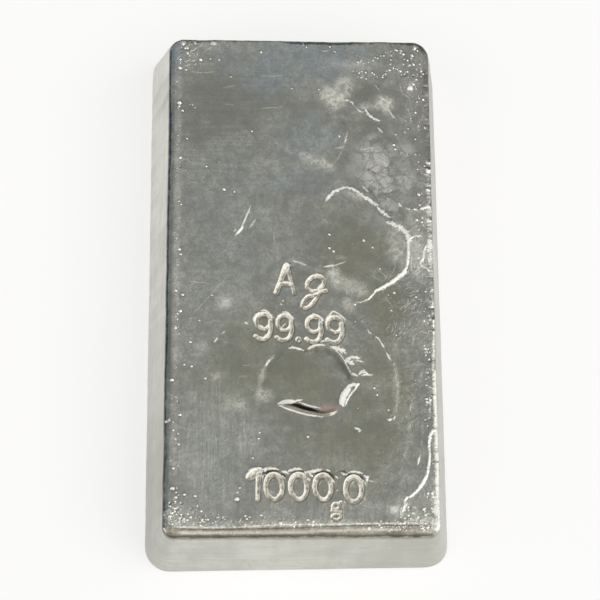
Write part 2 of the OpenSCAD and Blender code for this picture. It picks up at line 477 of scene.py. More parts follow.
    (0.50, 0, -0.14, 0.1, [(22.6, 35.8), (20.6, 34.2), (19.5, 32.2), (19.0, 30.2), (18.8, 28.4)]),
    (0.16, 0.04, 0.9, 0.2, [(19.8, 34.2), (19.1, 33.1)]),
]

# the round pool below the fineness mark: a shallow hollow, drawn anticlockwise, with a raised lip
pool = {
    "outline": [
        (17.8, 28.2), (18.4, 26.6), (20.2, 25.6), (23.6, 24.7), (26.2, 23.9), (28.6, 23.2), (30.8, 23.2),
        (32.6, 24.3), (33.3, 26.2), (34.2, 28.0), (35.4, 29.6), (35.4, 30.7), (34.9, 32.0), (34.0, 33.9),
        (32.9, 35.3), (31.3, 36.4), (28.9, 36.9), (27.4, 36.3), (26.3, 35.9), (25.0, 36.3), (23.3, 36.4),
        (21.3, 35.5), (19.6, 34.1), (18.4, 31.6),
    ],
    "depth": 0.13,
    "flank": 1.3,
    "lip": [
        (20.8, 25.6), (22.4, 25.2), (24.6, 24.7), (27.2, 24.0), (29.6, 23.5), (31.4, 23.7), (32.8, 24.6),
    ],
    "lipHeight": 0.34,
    "lipInside": (1.6, 0.75),     # width of the slope into the hollow, at the lip's start and middle
    "lipOutside": 0.5,            # width of the slope away from it
    # painted highlights and painted shade along the lip, as in edgeLines
    "edges": [
        (0.44, 1.0, [(21.5, 25.5), (22.6, 25.8), (23.6, 25.9), (24.8, 26.0)]),
        (0.16, 1.0, [(24.6, 26.1), (26.0, 26.3)]),
        (0.14, 1.0, [(21.5, 25.2), (23.2, 24.5), (25.0, 23.9), (26.8, 23.4), (28.7, 23.1), (30.0, 22.9)]),
        (0.13, 1.0, [(25.3, 25.9), (27.2, 25.2), (28.5, 24.9), (29.5, 24.7)]),
        (0.40, -1.0, [(24.2, 25.4), (25.2, 25.2), (26.3, 24.7), (27.6, 24.4), (28.8, 24.1)]),
    ],
}

# short folds and scratches: from, to, width, height (a negative height cuts in), how strong the painted
# highlight along it is
shortFolds = [
    ((30.4, 52.9), (32.6, 53.3), 0.34, 0.04, 0.9), ((32.4, 53.2), (34.4, 53.9), 0.26, 0.03, 0.6),
    ((16.2, 65.5), (14.1, 60.3), 0.30, 0.04, 0.7), ((14.7, 61.2), (13.2, 59.3), 0.42, 0.08, 1.0),
    ((15.9, 60.8), (17.1, 62.6), 0.28, 0.03, 0.5), ((12.9, 60.0), (13.4, 60.7), 0.26, 0.03, 0.6),
    ((35.9, 20.8), (36.9, 20.5), 0.40, 0.08, 1.0), ((37.0, 20.4), (36.6, 20.0), 0.24, 0.05, 0.9),
    ((2.2, 99.6), (3.4, 100.1), 0.30, 0.05, 0.8), ((4.0, 97.9), (5.4, 99.0), 0.24, 0.05, 0.6),
    ((8.2, 99.7), (9.6, 100.2), 0.50, 0.07, 1.0), ((3.2, 99.0), (4.4, 100.2), 0.22, 0.04, 0.4),
    ((2.8, 95.9), (3.9, 96.3), 0.24, 0.05, 0.5), ((4.2, 96.0), (5.2, 96.4), 0.24, 0.05, 0.5),
    ((2.9, 95.0), (4.2, 95.4), 0.24, 0.05, 0.45), ((5.6, 99.0), (6.9, 100.2), 0.20, 0.04, 0.4),
    ((1.4, 96.3), (2.0, 97.2), 0.24, 0.04, 0.4), ((6.8, 98.2), (8.4, 99.2), 0.20, 0.03, 0.3),
    ((9.2, 37.5), (9.9, 38.6), 0.28, 0.05, 0.8), ((10.7, 39.3), (11.3, 39.9), 0.24, 0.04, 0.5),
    ((15.0, 41.7), (15.7, 41.3), 0.34, 0.04, 0.8), ((24.4, 54.1), (25.4, 53.8), 0.26, 0.03, 0.8),
    ((25.2, 53.9), (26.9, 53.2), 0.30, 0.03, 0.6), ((42.0, 22.5), (43.2, 22.6), 0.36, 0.04, 0.4),
    ((43.2, 22.4), (43.6, 23.2), 0.26, 0.04, 0.35), ((30.2, 98.6), (31.6, 98.7), 0.22, 0.06, 0.5),
    ((20.6, 60.2), (20.9, 57.6), 0.16, 0.02, 0.35), ((27.0, 47.4), (25.6, 44.4), 0.20, 0.02, 0.45),
    ((27.6, 47.0), (26.2, 44.2), 0.14, 0.02, 0.35), ((11.0, 50.2), (5.0, 43.0), 0.14, 0.02, 0.30),
    ((4.3, 93.8), (6.6, 93.5), 0.20, 0.02, 0.35), ((6.6, 93.5), (9.1, 93.9), 0.20, 0.02, 0.35),
    ((17.9, 86.0), (21.9, 86.3), 0.16, 0.02, 0.35), ((10.3, 86.9), (13.2, 86.6), 0.16, 0.02, 0.25),
    ((10.6, 90.3), (13.3, 91.0), 0.20, 0.02, 0.25), ((18.0, 92.9), (22.6, 93.1), 0.20, 0.02, 0.25),
    ((40.4, 52.9), (42.9, 50.5), 0.14, 0.02, 0.40), ((41.9, 47.2), (43.7, 44.5), 0.14, 0.02, 0.30),
    ((39.2, 51.4), (41.6, 49.9), 0.14, 0.02, 0.25), ((4.6, 49.8), (7.4, 49.6), 0.16, 0.02, 0.35),
    ((14.6, 33.0), (16.2, 33.1), 0.16, 0.02, 0.30), ((13.9, 30.8), (16.0, 31.0), 0.16, 0.02, 0.25),
    ((48.6, 40.0), (50.6, 39.4), 0.20, 0.03, 0.40), ((45.5, 36.3), (47.0, 33.9), 0.16, 0.01, 0.20),
    ((49.6, 35.5), (50.4, 36.6), 0.20, 0.04, 0.90), ((45.4, 32.8), (48.6, 33.4), 0.16, 0.01, 0.20),
    # painted highlights on the bright sides inside the bowls of the marks
    ((18.0, 41.0), (18.7, 40.6), 0.36, 0.04, 1.0), ((19.0, 40.6), (19.8, 41.2), 0.34, 0.04, 1.0),
    ((18.7, 38.5), (19.5, 39.3), 0.44, 0.04, 1.0), ((22.1, 40.6), (23.0, 41.5), 0.22, 0.04, 0.8),
    ((21.8, 40.5), (22.6, 40.2), 0.28, 0.04, 1.0), ((27.6, 40.1), (28.3, 40.0), 0.30, 0.04, 1.0),
    ((29.0, 40.3), (29.5, 40.7), 0.30, 0.04, 1.0), ((28.7, 38.1), (29.4, 38.7), 0.44, 0.04, 1.0),
    ((31.5, 40.3), (32.3, 39.9), 0.30, 0.04, 1.0), ((33.0, 40.0), (33.6, 40.6), 0.26, 0.04, 0.9),
    ((21.2, 7.6), (21.7, 8.3), 0.34, 0.04, 1.0), ((20.2, 7.5), (20.9, 7.3), 0.22, 0.03, 0.7),
    ((25.0, 7.4), (25.8, 7.3), 0.26, 0.04, 0.9), ((30.3, 7.2), (30.6, 7.5), 0.28, 0.04, 0.9),
    ((29.5, 7.3), (30.1, 7.1), 0.24, 0.04, 0.8), ((36.1, 7.0), (36.5, 7.7), 0.26, 0.04, 0.8),
    ((23.0, 53.4), (23.8, 53.1), 0.34, 0.05, 1.0), ((22.3, 49.8), (23.6, 49.8), 0.22, 0.03, 0.9),
    ((29.1, 48.6), (29.8, 49.3), 0.30, 0.03, 0.9), ((18.3, 11.9), (18.4, 12.4), 0.26, 0.04, 0.9),
]

# beads set one by one: across, along, radius
singleBeads = [
    (6.1, 96.4, 0.46), (8.0, 96.6, 0.28), (9.8, 96.4, 0.26), (12.1, 92.8, 0.28), (18.1, 98.2, 0.36),
    (2.0, 87.1, 0.60), (2.0, 86.3, 0.34), (2.6, 85.4, 0.38), (2.3, 75.4, 0.36), (7.4, 73.6, 0.32),
    (2.0, 94.6, 0.50), (3.2, 94.2, 0.30), (4.1, 86.7, 0.20), (4.6, 86.6, 0.20), (5.1, 86.0, 0.20),
    (16.3, 81.1, 0.28), (3.6, 79.4, 0.26), (10.9, 68.8, 0.42), (12.9, 68.3, 0.28), (31.4, 59.6, 0.34),
    (38.1, 58.4, 0.36), (31.4, 56.8, 0.32), (32.2, 56.1, 0.32), (24.2, 90.4, 0.26), (29.6, 90.2, 0.24),
    (2.4, 56.4, 0.40), (2.6, 55.4, 0.36), (1.8, 48.0, 0.36), (3.1, 47.2, 0.40), (8.7, 47.1, 0.28),
    (2.7, 43.9, 0.42), (2.2, 43.3, 0.24), (1.9, 40.5, 0.32), (6.4, 42.0, 0.26), (4.7, 37.7, 0.32),
    (3.6, 33.2, 0.26), (5.0, 32.9, 0.30), (7.6, 30.5, 0.30), (1.3, 30.2, 0.46), (2.9, 23.4, 0.40),
    (0.95, 22.3, 0.36), (1.7, 20.4, 0.28), (2.7, 17.7, 0.32), (1.8, 13.1, 0.36), (1.7, 9.3, 0.55),
    (3.9, 8.1, 0.36), (5.9, 7.8, 0.32), (13.7, 7.2, 0.55), (13.8, 8.4, 0.24), (14.2, 9.3, 0.24),
    (17.9, 19.9, 0.26), (17.7, 18.8, 0.28), (27.0, 19.1, 0.32), (16.6, 15.0, 0.26), (18.2, 4.1, 0.30),
    (21.8, 2.7, 0.46), (27.9, 2.9, 0.28), (40.2, 27.3, 0.32), (39.7, 28.6, 0.26), (43.9, 47.7, 0.32),
    (48.1, 46.9, 0.30), (43.3, 44.1, 0.24), (47.9, 90.8, 0.85), (48.5, 91.6, 0.40), (27.7, 11.6, 0.36),
    (27.0, 11.0, 0.30), (19.0, 11.8, 0.24), (22.2, 11.5, 0.26), (49.1, 68.0, 0.38), (48.6, 62.7, 0.38),
    (49.6, 62.3, 0.30), (48.1, 64.9, 0.34), (50.9, 73.2, 0.50), (44.4, 78.5, 0.34), (44.6, 77.6, 0.34),
    (44.8, 80.7, 0.26), (48.8, 85.5, 0.32), (46.7, 98.1, 0.38), (45.2, 99.0, 0.36), (46.2, 98.9, 0.32),
    (48.4, 97.9, 0.50), (48.7, 95.9, 0.38), (47.5, 96.8, 0.34), (49.0, 99.5, 0.48), (42.3, 24.3, 0.26),
    (42.5, 22.4, 0.40), (41.2, 52.6, 0.26), (39.8, 56.9, 0.24), (36.2, 45.3, 0.34), (31.9, 99.6, 0.30),
    (32.9, 98.5, 0.28), (27.2, 99.4, 0.24), (25.9, 45.1, 0.24), (38.0, 96.3, 0.22), (22.4, 46.0, 0.22),
    (22.0, 45.3, 0.22), (33.6, 80.2, 0.28), (50.2, 94.4, 0.34), (49.2, 92.6, 0.28), (50.4, 88.3, 0.34),
    (49.2, 87.8, 0.26), (49.6, 88.6, 0.26), (49.4, 82.6, 0.24), (46.0, 94.4, 0.38),
]

# dotted rows of beads: points that the row passes through, count
beadRows = [
    ([(36.5, 94.3), (38.8, 94.0), (41.3, 93.1), (42.8, 93.6), (43.7, 94.6), (44.9, 94.7),
        (46.1, 94.3)], 20),
    ([(36.6, 93.5), (37.8, 93.0), (39.1, 92.8)], 6),
    ([(37.8, 96.1), (39.7, 96.4), (41.1, 97.1), (41.7, 97.6), (43.5, 98.1), (45.3, 98.9)], 11),
]

# scattered beads: (across from, to), (along from, to), how many, (smallest, largest radius)
beadFields = [
    ((0.9, 5.5), (95.2, 100.0), 36, (0.16, 0.38)),
    ((1.3, 2.7), (6, 95), 95, (0.12, 0.26)),
    ((0.9, 3.6), (1.9, 8), 50, (0.16, 0.40)),
    ((3.6, 7.5), (2.2, 6), 28, (0.16, 0.34)),
    ((7, 16), (2.1, 4.4), 26, (0.14, 0.32)),
    ((16, 43), (2.1, 3.0), 22, (0.12, 0.26)),
    ((38, 50.6), (1.3, 2.6), 34, (0.14, 0.30)),
    ((43, 50.6), (2.2, 5.6), 42, (0.16, 0.36)),
    ((49.4, 51.2), (4, 46), 84, (0.16, 0.36)),
    ((48.6, 51.0), (46, 92), 62, (0.12, 0.30)),
    ((43.5, 50.6), (93, 100.0), 56, (0.14, 0.32)),
    ((46.5, 50), (76, 92), 18, (0.14, 0.28)),
    ((6, 44), (96, 100), 16, (0.12, 0.24)),
    ((40, 48), (28, 62), 18, (0.12, 0.22)),
    ((3, 45), (6, 92), 44, (0.10, 0.20)),
    ((6, 32), (1.8, 3.8), 36, (0.15, 0.32)),
    ((1.0, 4.4), (1.8, 4.4), 22, (0.16, 0.36)),
    ((42.0, 50.4), (0.9, 2.0), 34, (0.15, 0.30)),
]


# patches of the marked face's skin and of the walls beside it, some of them painted light as said below:
# centre, half sizes, turn in degrees, strength
skinPatches = {
    "olive": [
        ((13.0, 33.0), (7.0, 5.5), 0, 0.7), ((17.0, 32.0), (5.0, 5.0), 0, 0.8),
        ((14.0, 26.0), (6.0, 3.0), 0, 0.5), ((26.5, 30.5), (8.0, 6.0), 0, 0.9),
        ((34.0, 17.5), (11.0, 4.6), -6, 0.85), ((37.5, 56.0), (8.0, 8.0), -20, 0.8),
        ((42.0, 45.0), (4.5, 6.5), 15, 0.85), ((40.5, 33.0), (4.5, 6.0), 0, 0.7),
        ((16.0, 39.5), (6.0, 5.0), 0, 0.9), ((8.5, 31.5), (7.0, 5.0), 10, 0.5),
        ((38.5, 25.0), (4.0, 3.5), 0, 0.7), ((39.5, 80.5), (4.0, 4.0), 0, 0.4),
        ((38.4, 90.0), (2.4, 2.0), 0, 0.5), ((40.5, 18.0), (6.0, 6.0), 0, 0.8),
        ((33.0, 11.5), (8.0, 4.5), 0, 0.8), ((44.0, 28.0), (3.6, 8.0), 0, 0.85),
        ((9.0, 28.6), (6.0, 2.0), 0, 0.6),
    ],
    "dull": [
        ((49.0, 26.5), (2.6, 5.0), 0, 0.85), ((48.8, 47.0), (2.5, 4.0), 0, 0.7),
        ((31.5, 5.0), (6.0, 3.0), 0, 0.7), ((35.0, 75.0), (3.0, 4.0), 0, 0.7),
        # the patch at across -1.6 on the next line darkens the front of the left wall: painted shade
        ((48.5, 68.0), (3.0, 3.0), 0, 0.4), ((-1.6, 6.0), (3.0, 16.0), 0, 0.5),
        ((47.0, -3.5), (7.0, 4.0), 0, 0.5), ((-1.5, -4.6), (2.4, 1.2), 0, 0.9),
        ((9.5, 88.5), (9.5, 6.5), 0, 1.0), ((17.0, 88.5), (6.0, 4.0), 0, 0.9),
        ((25.0, 87.0), (6.0, 4.0), 0, 0.6), ((9.0, 80.0), (8.0, 4.0), 0, 0.3),
        ((43.0, 82.0), (5.0, 5.0), 0, 0.45), ((45.0, 90.5), (5.0, 3.0), 0, 0.45),
        ((2.2, 97.0), (2.4, 3.0), 0, 0.15),
    ],
    "pale": [
        # these two, at across -1.6, lighten the left wall towards its back: painted light
        ((-1.6, 60.0), (3.0, 70.0), 0, 0.45), ((-1.6, 94.0), (3.0, 46.0), 0, 1.0),
        ((22.0, -3.5), (12.0, 4.0), 0, 0.3), ((1.9, 50.0), (0.9, 48.0), 0, 0.45),
        ((10.0, 14.0), (9.5, 11.0), 0, 0.55), ((25.0, 4.5), (24.0, 2.8), 0, 0.45),
        ((8.0, 46.0), (9.0, 8.0), 0, 0.8), ((4.0, 38.0), (4.5, 7.0), 0, 0.85),
        ((12.0, 57.0), (10.0, 6.0), 0, 0.55), ((11.0, 74.0), (9.0, 4.0), 0, 0.65),
        ((7.0, 68.0), (8.0, 5.0), 0, 0.35), ((41.5, 61.5), (3.0, 2.5), 0, 0.5),
        ((28.5, 89.5), (3.0, 3.0), 0, 0.5), ((5.0, 96.5), (3.0, 2.6), 0, 0.45),
        ((26.0, 96.0), (14.0, 5.0), 0, 0.55), ((4.0, 4.5), (5.0, 4.0), 0, 1.0),
        ((14.0, 5.0), (8.0, 3.0), 0, 0.3), ((3.5, 27.0), (3.0, 7.0), 0, 0.4),
        ((49.5, 56.5), (2.2, 7.0), 0, 0.75), ((25.0, 99.0), (24.0, 1.6), 0, 0.40),
        ((18.0, 57.5), (7.0, 7.0), 0, 0.4), ((21.0, 77.5), (6.0, 5.0), 0, 0.2),
        ((24.0, 12.0), (14.0, 4.5), 0, 0.3), ((47.5, 10.0), (3.5, 9.0), 0, 0.35),
        ((16.0, 72.0), (10.0, 6.0), 0, 0.2),
    ],
    "blue": [
        ((28.0, 97.5), (11.0, 4.0), 0, 0.9), ((20.0, 94.0), (5.5, 5.5), 0, 0.85),
        ((13.0, 96.5), (5.0, 3.0), 0, 0.5), ((29.0, 95.5), (8.0, 4.5), 0, 0.6),
        ((27.0, 79.5), (6.0, 5.0), 0, 0.6), ((1.4, 97.0), (1.6, 3.5), 0, 0.8),
        ((22.7, 47.4), (1.0, 0.8), 0, 0.8), ((12.0, 63.0), (9.0, 14.0), 0, 0.25),
        ((9.0, 14.0), (8.0, 10.0), 0, 0.18), ((26.0, 70.5), (9.0, 3.0), 0, 0.5),
    ],
    "haze": [
        ((25.0, 2.4), (24.0, 0.7), 0, 0.45), ((2.0, 60.0), (0.5, 36.0), 0, 0.30),
        ((33.1, 50.4), (1.3, 2.6), 25, 0.85), ((36.2, 48.2), (3.0, 1.4), -12, 0.55),
        ((34.9, 45.4), (1.2, 1.9), 20, 0.55), ((32.4, 88.6), (2.2, 2.6), -40, 1.0),
        ((34.6, 91.8), (2.2, 1.4), -30, 0.7), ((43.2, 87.2), (1.9, 1.8), 0, 0.9),
        ((41.2, 86.6), (1.4, 0.9), 0, 0.6), ((39.0, 86.6), (1.2, 0.8), 0, 0.5),
        ((46.0, 74.0), (2.4, 4.0), 0, 0.35), ((44.8, 57.5), (1.6, 3.8), 0, 0.55),
        ((45.6, 54.2), (0.9, 2.4), 0, 0.4), ((29.2, 74.6), (3.0, 1.1), -20, 0.8),
        ((11.3, 45.9), (1.1, 1.2), 0, 0.8), ((9.8, 30.9), (1.2, 0.8), 0, 0.6),
        ((6.9, 36.9), (1.5, 1.1), 0, 0.45), ((13.6, 25.8), (2.2, 1.5), -30, 0.5),
        ((18.6, 27.0), (1.5, 1.3), 0, 0.55), ((48.6, 57.0), (2.6, 5.0), 0, 0.45),
        ((40.5, 73.5), (4.0, 3.2), 20, 0.45), ((43.5, 72.5), (4.0, 3.6), 0, 0.35),
        ((48.5, 4.0), (3.0, 2.5), 0, 0.35), ((3.0, 3.6), (3.4, 2.0), 0, 0.30),
        ((25.0, 53.8), (1.6, 0.9), -20, 0.35), ((33.6, 54.8), (1.2, 0.5), 0, 0.35),
        ((36.5, 95.8), (5.0, 1.2), 0, 0.35), ((37.9, 90.8), (0.6, 0.5), 0, 0.35),
        ((48.0, 90.6), (1.2, 1.2), 0, 0.5), ((43.6, 91.8), (1.2, 0.7), 20, 0.3),
        ((36.6, 67.6), (2.2, 0.8), -25, 0.45), ((44.3, 5.4), (1.8, 1.4), 30, 0.45),
        ((19.0, 81.5), (1.2, 1.4), 0, 0.15), ((18.3, 30.5), (0.45, 2.6), 5, 0.2),
        ((43.9, 29.0), (0.5, 5.0), 0, 0.45), ((24.0, 57.6), (1.2, 0.7), 0, 0.25),
    ],
    "crackle": [
        ((42.0, 71.5), (4.8, 7.0), 10, 1.0), ((39.5, 76.0), (3.0, 3.6), 0, 0.9),
        ((45.5, 76.0), (3.0, 4.0), 0, 0.6), ((48.5, 72.0), (2.0, 6.0), 0, 0.3),
        ((41.0, 64.5), (3.0, 1.6), -30, 0.4), ((48.8, 57.0), (2.0, 5.0), 0, 0.4),
    ],
    "brushed": [
        ((10.0, 17.0), (9.5, 14.0), 0, 1.0), ((24.0, 15.0), (12.0, 6.0), 0, 0.5),
        ((20.0, 4.5), (18.0, 2.6), 0, 0.6), ((12.0, 57.0), (9.0, 9.0), 0, 0.3),
        ((24.0, 91.0), (12.0, 8.0), 0, 0.3),
    ],
    "wiped": [
        ((9.5, 78.0), (9.0, 12.0), 0, 0.9), ((15.0, 91.0), (12.0, 5.0), 0, 0.6),
        ((8.0, 58.0), (6.0, 7.0), 0, 0.4), ((43.0, 74.0), (7.0, 12.0), 30, 0.3),
    ],
    "stain": [
        ((31.7, 24.5), (1.9, 0.9), 5, 1.0), ((16.6, 12.1), (0.9, 0.9), 0, 0.5),
        ((45.0, 1.9), (5.0, 0.6), 0, 0.4), ((12.0, 1.3), (10.0, 0.35), 0, 0.35),
        ((31.0, 1.3), (9.0, 0.35), 0, 0.35),
    ],
    # painted shade, such as inside the pool, in the bowls of the marks and along the left rim
    "shade": [
        ((24.6, 35.0), (3.6, 0.7), -4, 0.45), ((30.2, 35.3), (2.6, 0.7), 0, 0.5),
        ((33.1, 33.5), (0.6, 1.8), 35, 0.7), ((35.1, 31.0), (0.5, 1.2), 20, 0.6),
        ((24.5, 33.4), (4.2, 2.4), 0, 0.3), ((27.5, 28.2), (5.5, 1.2), 0, 0.12),
        ((22.8, 51.0), (0.5, 1.4), 0, 0.5), ((18.8, 42.6), (0.8, 0.5), 0, 0.8),
        ((22.8, 42.4), (0.8, 0.5), 0, 0.6), ((28.4, 42.0), (0.9, 0.6), 0, 0.8),
        ((32.4, 42.0), (0.8, 0.5), 0, 0.7), ((29.4, 50.0), (0.8, 0.4), 35, 0.7),
        ((20.6, 11.0), (0.9, 0.5), 0, 0.5), ((25.3, 11.0), (0.9, 0.5), 0, 0.5),
        ((29.8, 11.0), (0.9, 0.5), 0, 0.5), ((46.0, 2.0), (4.5, 0.7), 0, 0.6),
        ((38.5, 1.6), (5.0, 0.5), 0, 0.3), ((37.0, 20.5), (6.0, 1.2), 15, 0.35),
        ((0.9, 1.2), (0.8, 0.8), 0, 0.8), ((0.75, 37.0), (0.45, 10.0), 0, 0.7),
        ((0.6, 14.0), (0.35, 8.0), 0, 0.4), ((0.7, 62.0), (0.4, 10.0), 0, 0.4),
        ((14.0, 75.3), (4.0, 0.5), 5, 0.3), ((12.0, 85.2), (5.0, 0.5), 0, 0.3),
        ((20.0, 89.0), (5.0, 0.6), 0, 0.3), ((26.0, 86.6), (3.0, 0.6), 0, 0.25),
        ((42.0, 53.4), (3.0, 1.2), -30, 0.4), ((38.4, 89.8), (1.9, 1.7), 0, 0.45),
        ((38.6, 71.0), (1.0, 0.25), 10, 0.6), ((42.0, 71.5), (2.6, 0.25), 5, 0.8),
        ((40.3, 72.6), (0.9, 0.22), -50, 0.8),
    ],
    # painted highlights: white patches where the right rim, the front seam and a few beads catch the light
    "paintedLight": [
        ((50.8, 5.0), (0.7, 4.5), 0, 1.0), ((51.2, 13.0), (0.35, 8.0), 0, 0.8),
        ((51.1, 56.0), (0.55, 2.4), 0, 1.0), ((47.0, 2.8), (2.6, 0.7), 0, 0.4),
        ((44.0, 4.6), (1.2, 1.0), 30, 0.4), ((2.0, 2.6), (1.4, 1.0), 0, 0.5),
        ((48.2, 91.4), (0.7, 0.7), 0, 0.6), ((12.0, 2.1), (11.0, 0.22), 0, 0.35),
        ((34.0, 2.4), (14.0, 0.22), 0, 0.3),
    ],
    "wrinkled": [
        ((46.0, 48.0), (5.0, 13.0), 0, 1.0), ((46.5, 28.0), (4.0, 10.0), 0, 0.7),
        ((44.0, 70.0), (7.0, 9.0), 0, 0.6), ((45.0, 12.0), (6.0, 9.0), 0, 0.5),
        ((42.0, 90.0), (8.0, 9.0), 0, 0.5), ((38.0, 36.0), (4.0, 5.0), 0, 0.4),
    ],
}


# how beads stand: size or radius, rise beside the radius, and how strong the painted highlight on their tops
# is
# of the scattered ones, a share stand up and the others are pits
beadForm = {
    "single": {"size": 0.78, "rise": 0.45, "white": (0.5, 1.0)},
    "row": {"radius": (0.11, 0.24), "stray": 0.18, "rise": 0.6, "white": (0.35, 0.95)},
    "field": {"size": 0.8, "rise": (0.3, 0.65), "standing": 0.72, "pit": -0.7, "white": (0.3, 1.0)},
}


# across, along, radius, rise and how strong the painted highlight on the top is
def makeBeads():
    rng = np.random.default_rng(4)
    form = beadForm["single"]
    beads = [(a, b, form["size"] * r, form["rise"] * r, rng.uniform(*form["white"]))
             for a, b, r in singleBeads]
    form = beadForm["row"]
    for points, count in beadRows:
        row = softCurve(points)
        for k in np.linspace(0, len(row) - 1, count).astype(int):
            a, b = row[k] + rng.normal(0, form["stray"], 2)
            r = rng.uniform(*form["radius"])
            beads.append((a, b, r, r * form["rise"], rng.uniform(*form["white"])))
    form = beadForm["field"]
    for (left, right), (front, back), count, (small, large) in beadFields:
        for _ in range(count):
            a, b = rng.uniform(left, right), rng.uniform(front, back)
            r = form["size"] * (small + (large - small) * rng.random() ** 2)
            rise = r * rng.uniform(*form["rise"])
            rise = rise * (1 if rng.random() < form["standing"] else form["pit"])
            beads.append((a, b, r, rise, rng.uniform(*form["white"]) if rise > 0 else 0))
    return beads


# of two masks, the stronger one at each point; white is above 0 and dark below
def stronger(first, second):
    return np.where(np.abs(second) > np.abs(first), second, first)


# grooves of the struck marks, in mm, and the painted highlights and shade along their edges
grooveForm = {
    "head": (0.2, 2.2),    # where above its centre a mark's head starts and is full
    "widening": 0.3,       # how much wider a stroke is at the head
    "plainLip": 0.02,      # height of the lip at the mark's foot
    "lipPlace": 0.12,      # from the groove's edge to the top of the lip
    "lipOutside": 0.30,    # width of the lip's slopes
    "lipInside": 0.16,
    # a paler painted line (farWhite) and painted shade (farDark) on the side away from the upper left
    "farWhite": 0.75,      # on the side away from the upper left
    "farDark": 0.6,
}


# depth of the grooves, height of the lips pushed up beside them, how far a point is inside a groove,
# and the painted highlights and shade along their edges, lit from the upper left; x is 1 at a groove's edge
def markRelief(across, along):
    form = grooveForm
    depth, lip, struck, edge = np.zeros((4, *across.shape))
    for strokes, at, width, cut, turn, lipHeight in struckMarks:
        for stroke, share in strokes:
            line = at + np.column_stack(rotate(stroke[:, 0], stroke[:, 1], turn))
            near, gap, _, _, upLeft = nearCurve(across, along, line, width + 1)
            noise = gradientNoise(across[near], along[near], 0.7, seed=50)
            head = smooth(*form["head"], along[near] - at[1])
            half = width * share / 2 * (1 + form["widening"] * head)
            x = gap / half
            depth[near] = np.maximum(depth[near], cut * np.clip(1 - x * x, 0, 1))
            struck[near] = np.maximum(struck[near], smooth(1.25, 0.85, x))
            size = form["plainLip"] + (lipHeight * (1 + 0.8 * noise) - form["plainLip"]) * head
            slope = np.where(gap > half + form["lipPlace"], form["lipOutside"], form["lipInside"])
            crest = hump(gap - half, form["lipPlace"], slope)
            lip[near] = np.maximum(lip[near], size * crest * (gap > half - 0.3))
            # painted light: a highlight on the side towards the upper left, a paler line and painted shade on
            # the far side
            lit = smooth(-0.05, 0.5, upLeft)
            shaded = smooth(0.1, 0.7, -upLeft)
            white = lit * smooth(1.4, 1.15, x) * smooth(0.5, 0.85, x) * (1 + 0.6 * noise)
            white = white + form["farWhite"] * shaded * hump(x, 0.85, 0.22) * (1 + 0.9 * noise)
            dark = form["farDark"] * shaded * hump(x, 1.45, 0.28)
            edge[near] = stronger(edge[near], np.clip(white, 0, 1) - dark)
    edge = np.where((struck > 0.6) & (edge < 0), 0, edge)
    outside = depth < 0.1
    return depth, lip * outside, struck, edge


def lapRelief(across, along):
    height = np.zeros(across.shape)
    for rise, flank, reach, points in coldLaps:
        line = softCurve(points)
        near, gap, side, share, _ = nearCurve(across, along, line, reach * 3.5)
        signed = gap * side
        ends = smooth(0, 2, fromEnds(share) * lineLength(line))     # full height 2 mm from each end
        slope = smooth(-flank / 2, flank / 2, signed) * np.exp(-np.maximum(signed, 0) / reach)
        height[near] += rise * ends * slope
    return height


# height of the thin lines, their painted highlights and shade, and the dark of the crystal borders; x is 1 at
# a line's edge
def lineRelief(across, along):
    height, edge = np.zeros((2, *across.shape))
    rough = gradientNoise(across, along, 0.45, seed=61)
    for k, (wide, rise, white, broken, points) in enumerate(edgeLines):
        line = softCurve(points)
        near, gap, _, share, _ = nearCurve(across, along, line, wide * 3)
        length = lineLength(line)
        wave = gradientNoise(share * length, share * 0, 1.3, seed=62 + k)
        strength = 1 - broken * smooth(-0.2, 0.3, wave)     # it fades out in places along the line
        taper = 0.45 + 0.55 * smooth(0, 0.6, fromEnds(share) * length)     # full width 0.6 mm from each end
        ragged = min(0.3 + 2 * broken, 1.2)
        x = gap / (wide * taper * np.maximum(1 + ragged * rough[near], 0.3))
        height[near] += rise * strength * hump(x, 0, 1.1)
        edge[near] = stronger(edge[near], white * strength * smooth(1.25, 0.7, x))
    return height, edge


# height of the pool and its lip, and the painted highlights and shade along the lip
def poolRelief(across, along):
    height, edge = np.zeros((2, *across.shape))
    outline = softCurve(pool["outline"], closed=True)
    near, gap, side, _, _ = nearCurve(across, along, outline, 2)
    across, along = across[near], along[near]
    deep = pool["depth"] * (0.4 + 0.6 * smooth(20, 29, across))     # shallower on its left
    height[near] = -deep * smooth(-0.2, pool["flank"], gap * side)
    gap, side, share, _ = nearLine(across, along, softCurve(pool["lip"]))
    signed = gap * side
    atStart, atMiddle = pool["lipInside"]
    inside = atStart + (atMiddle - atStart) * smooth(0, 0.4, share)
    fall = np.where(signed > 0, smooth(1, 0, signed / inside), smooth(1, 0, -signed / pool["lipOutside"]))
    height[near] += pool["lipHeight"] * smooth(0, 0.16, fromEnds(share)) * fall
    for wide, white, points in pool["edges"]:
        gap, _, share, _ = nearLine(across, along, softCurve(points))
        taper = 0.35 + 0.65 * smooth(0, 0.3, fromEnds(share))
        mask = white * smooth(1.3, 0.8, gap / (wide * taper))
        edge[near] = np.where(np.abs(mask) > 0.4, mask, stronger(edge[near], mask))
    return height, edge


def foldRelief(across, along):
    height, edge = np.zeros((2, *across.shape))
    for start, end, width, rise, white in shortFolds:
        near, gap, _, share, _ = nearCurve(across, along, np.array([start, end]), width * 2)
        ends = 0.35 + 0.65 * smooth(0, 0.3, fromEnds(share))
        x = gap / (width / 2)
        height[near] += rise * ends * hump(x, 0, 1)
        edge[near] = np.maximum(edge[near], white * smooth(1.5, 0.5, x / ends))
    return height, edge


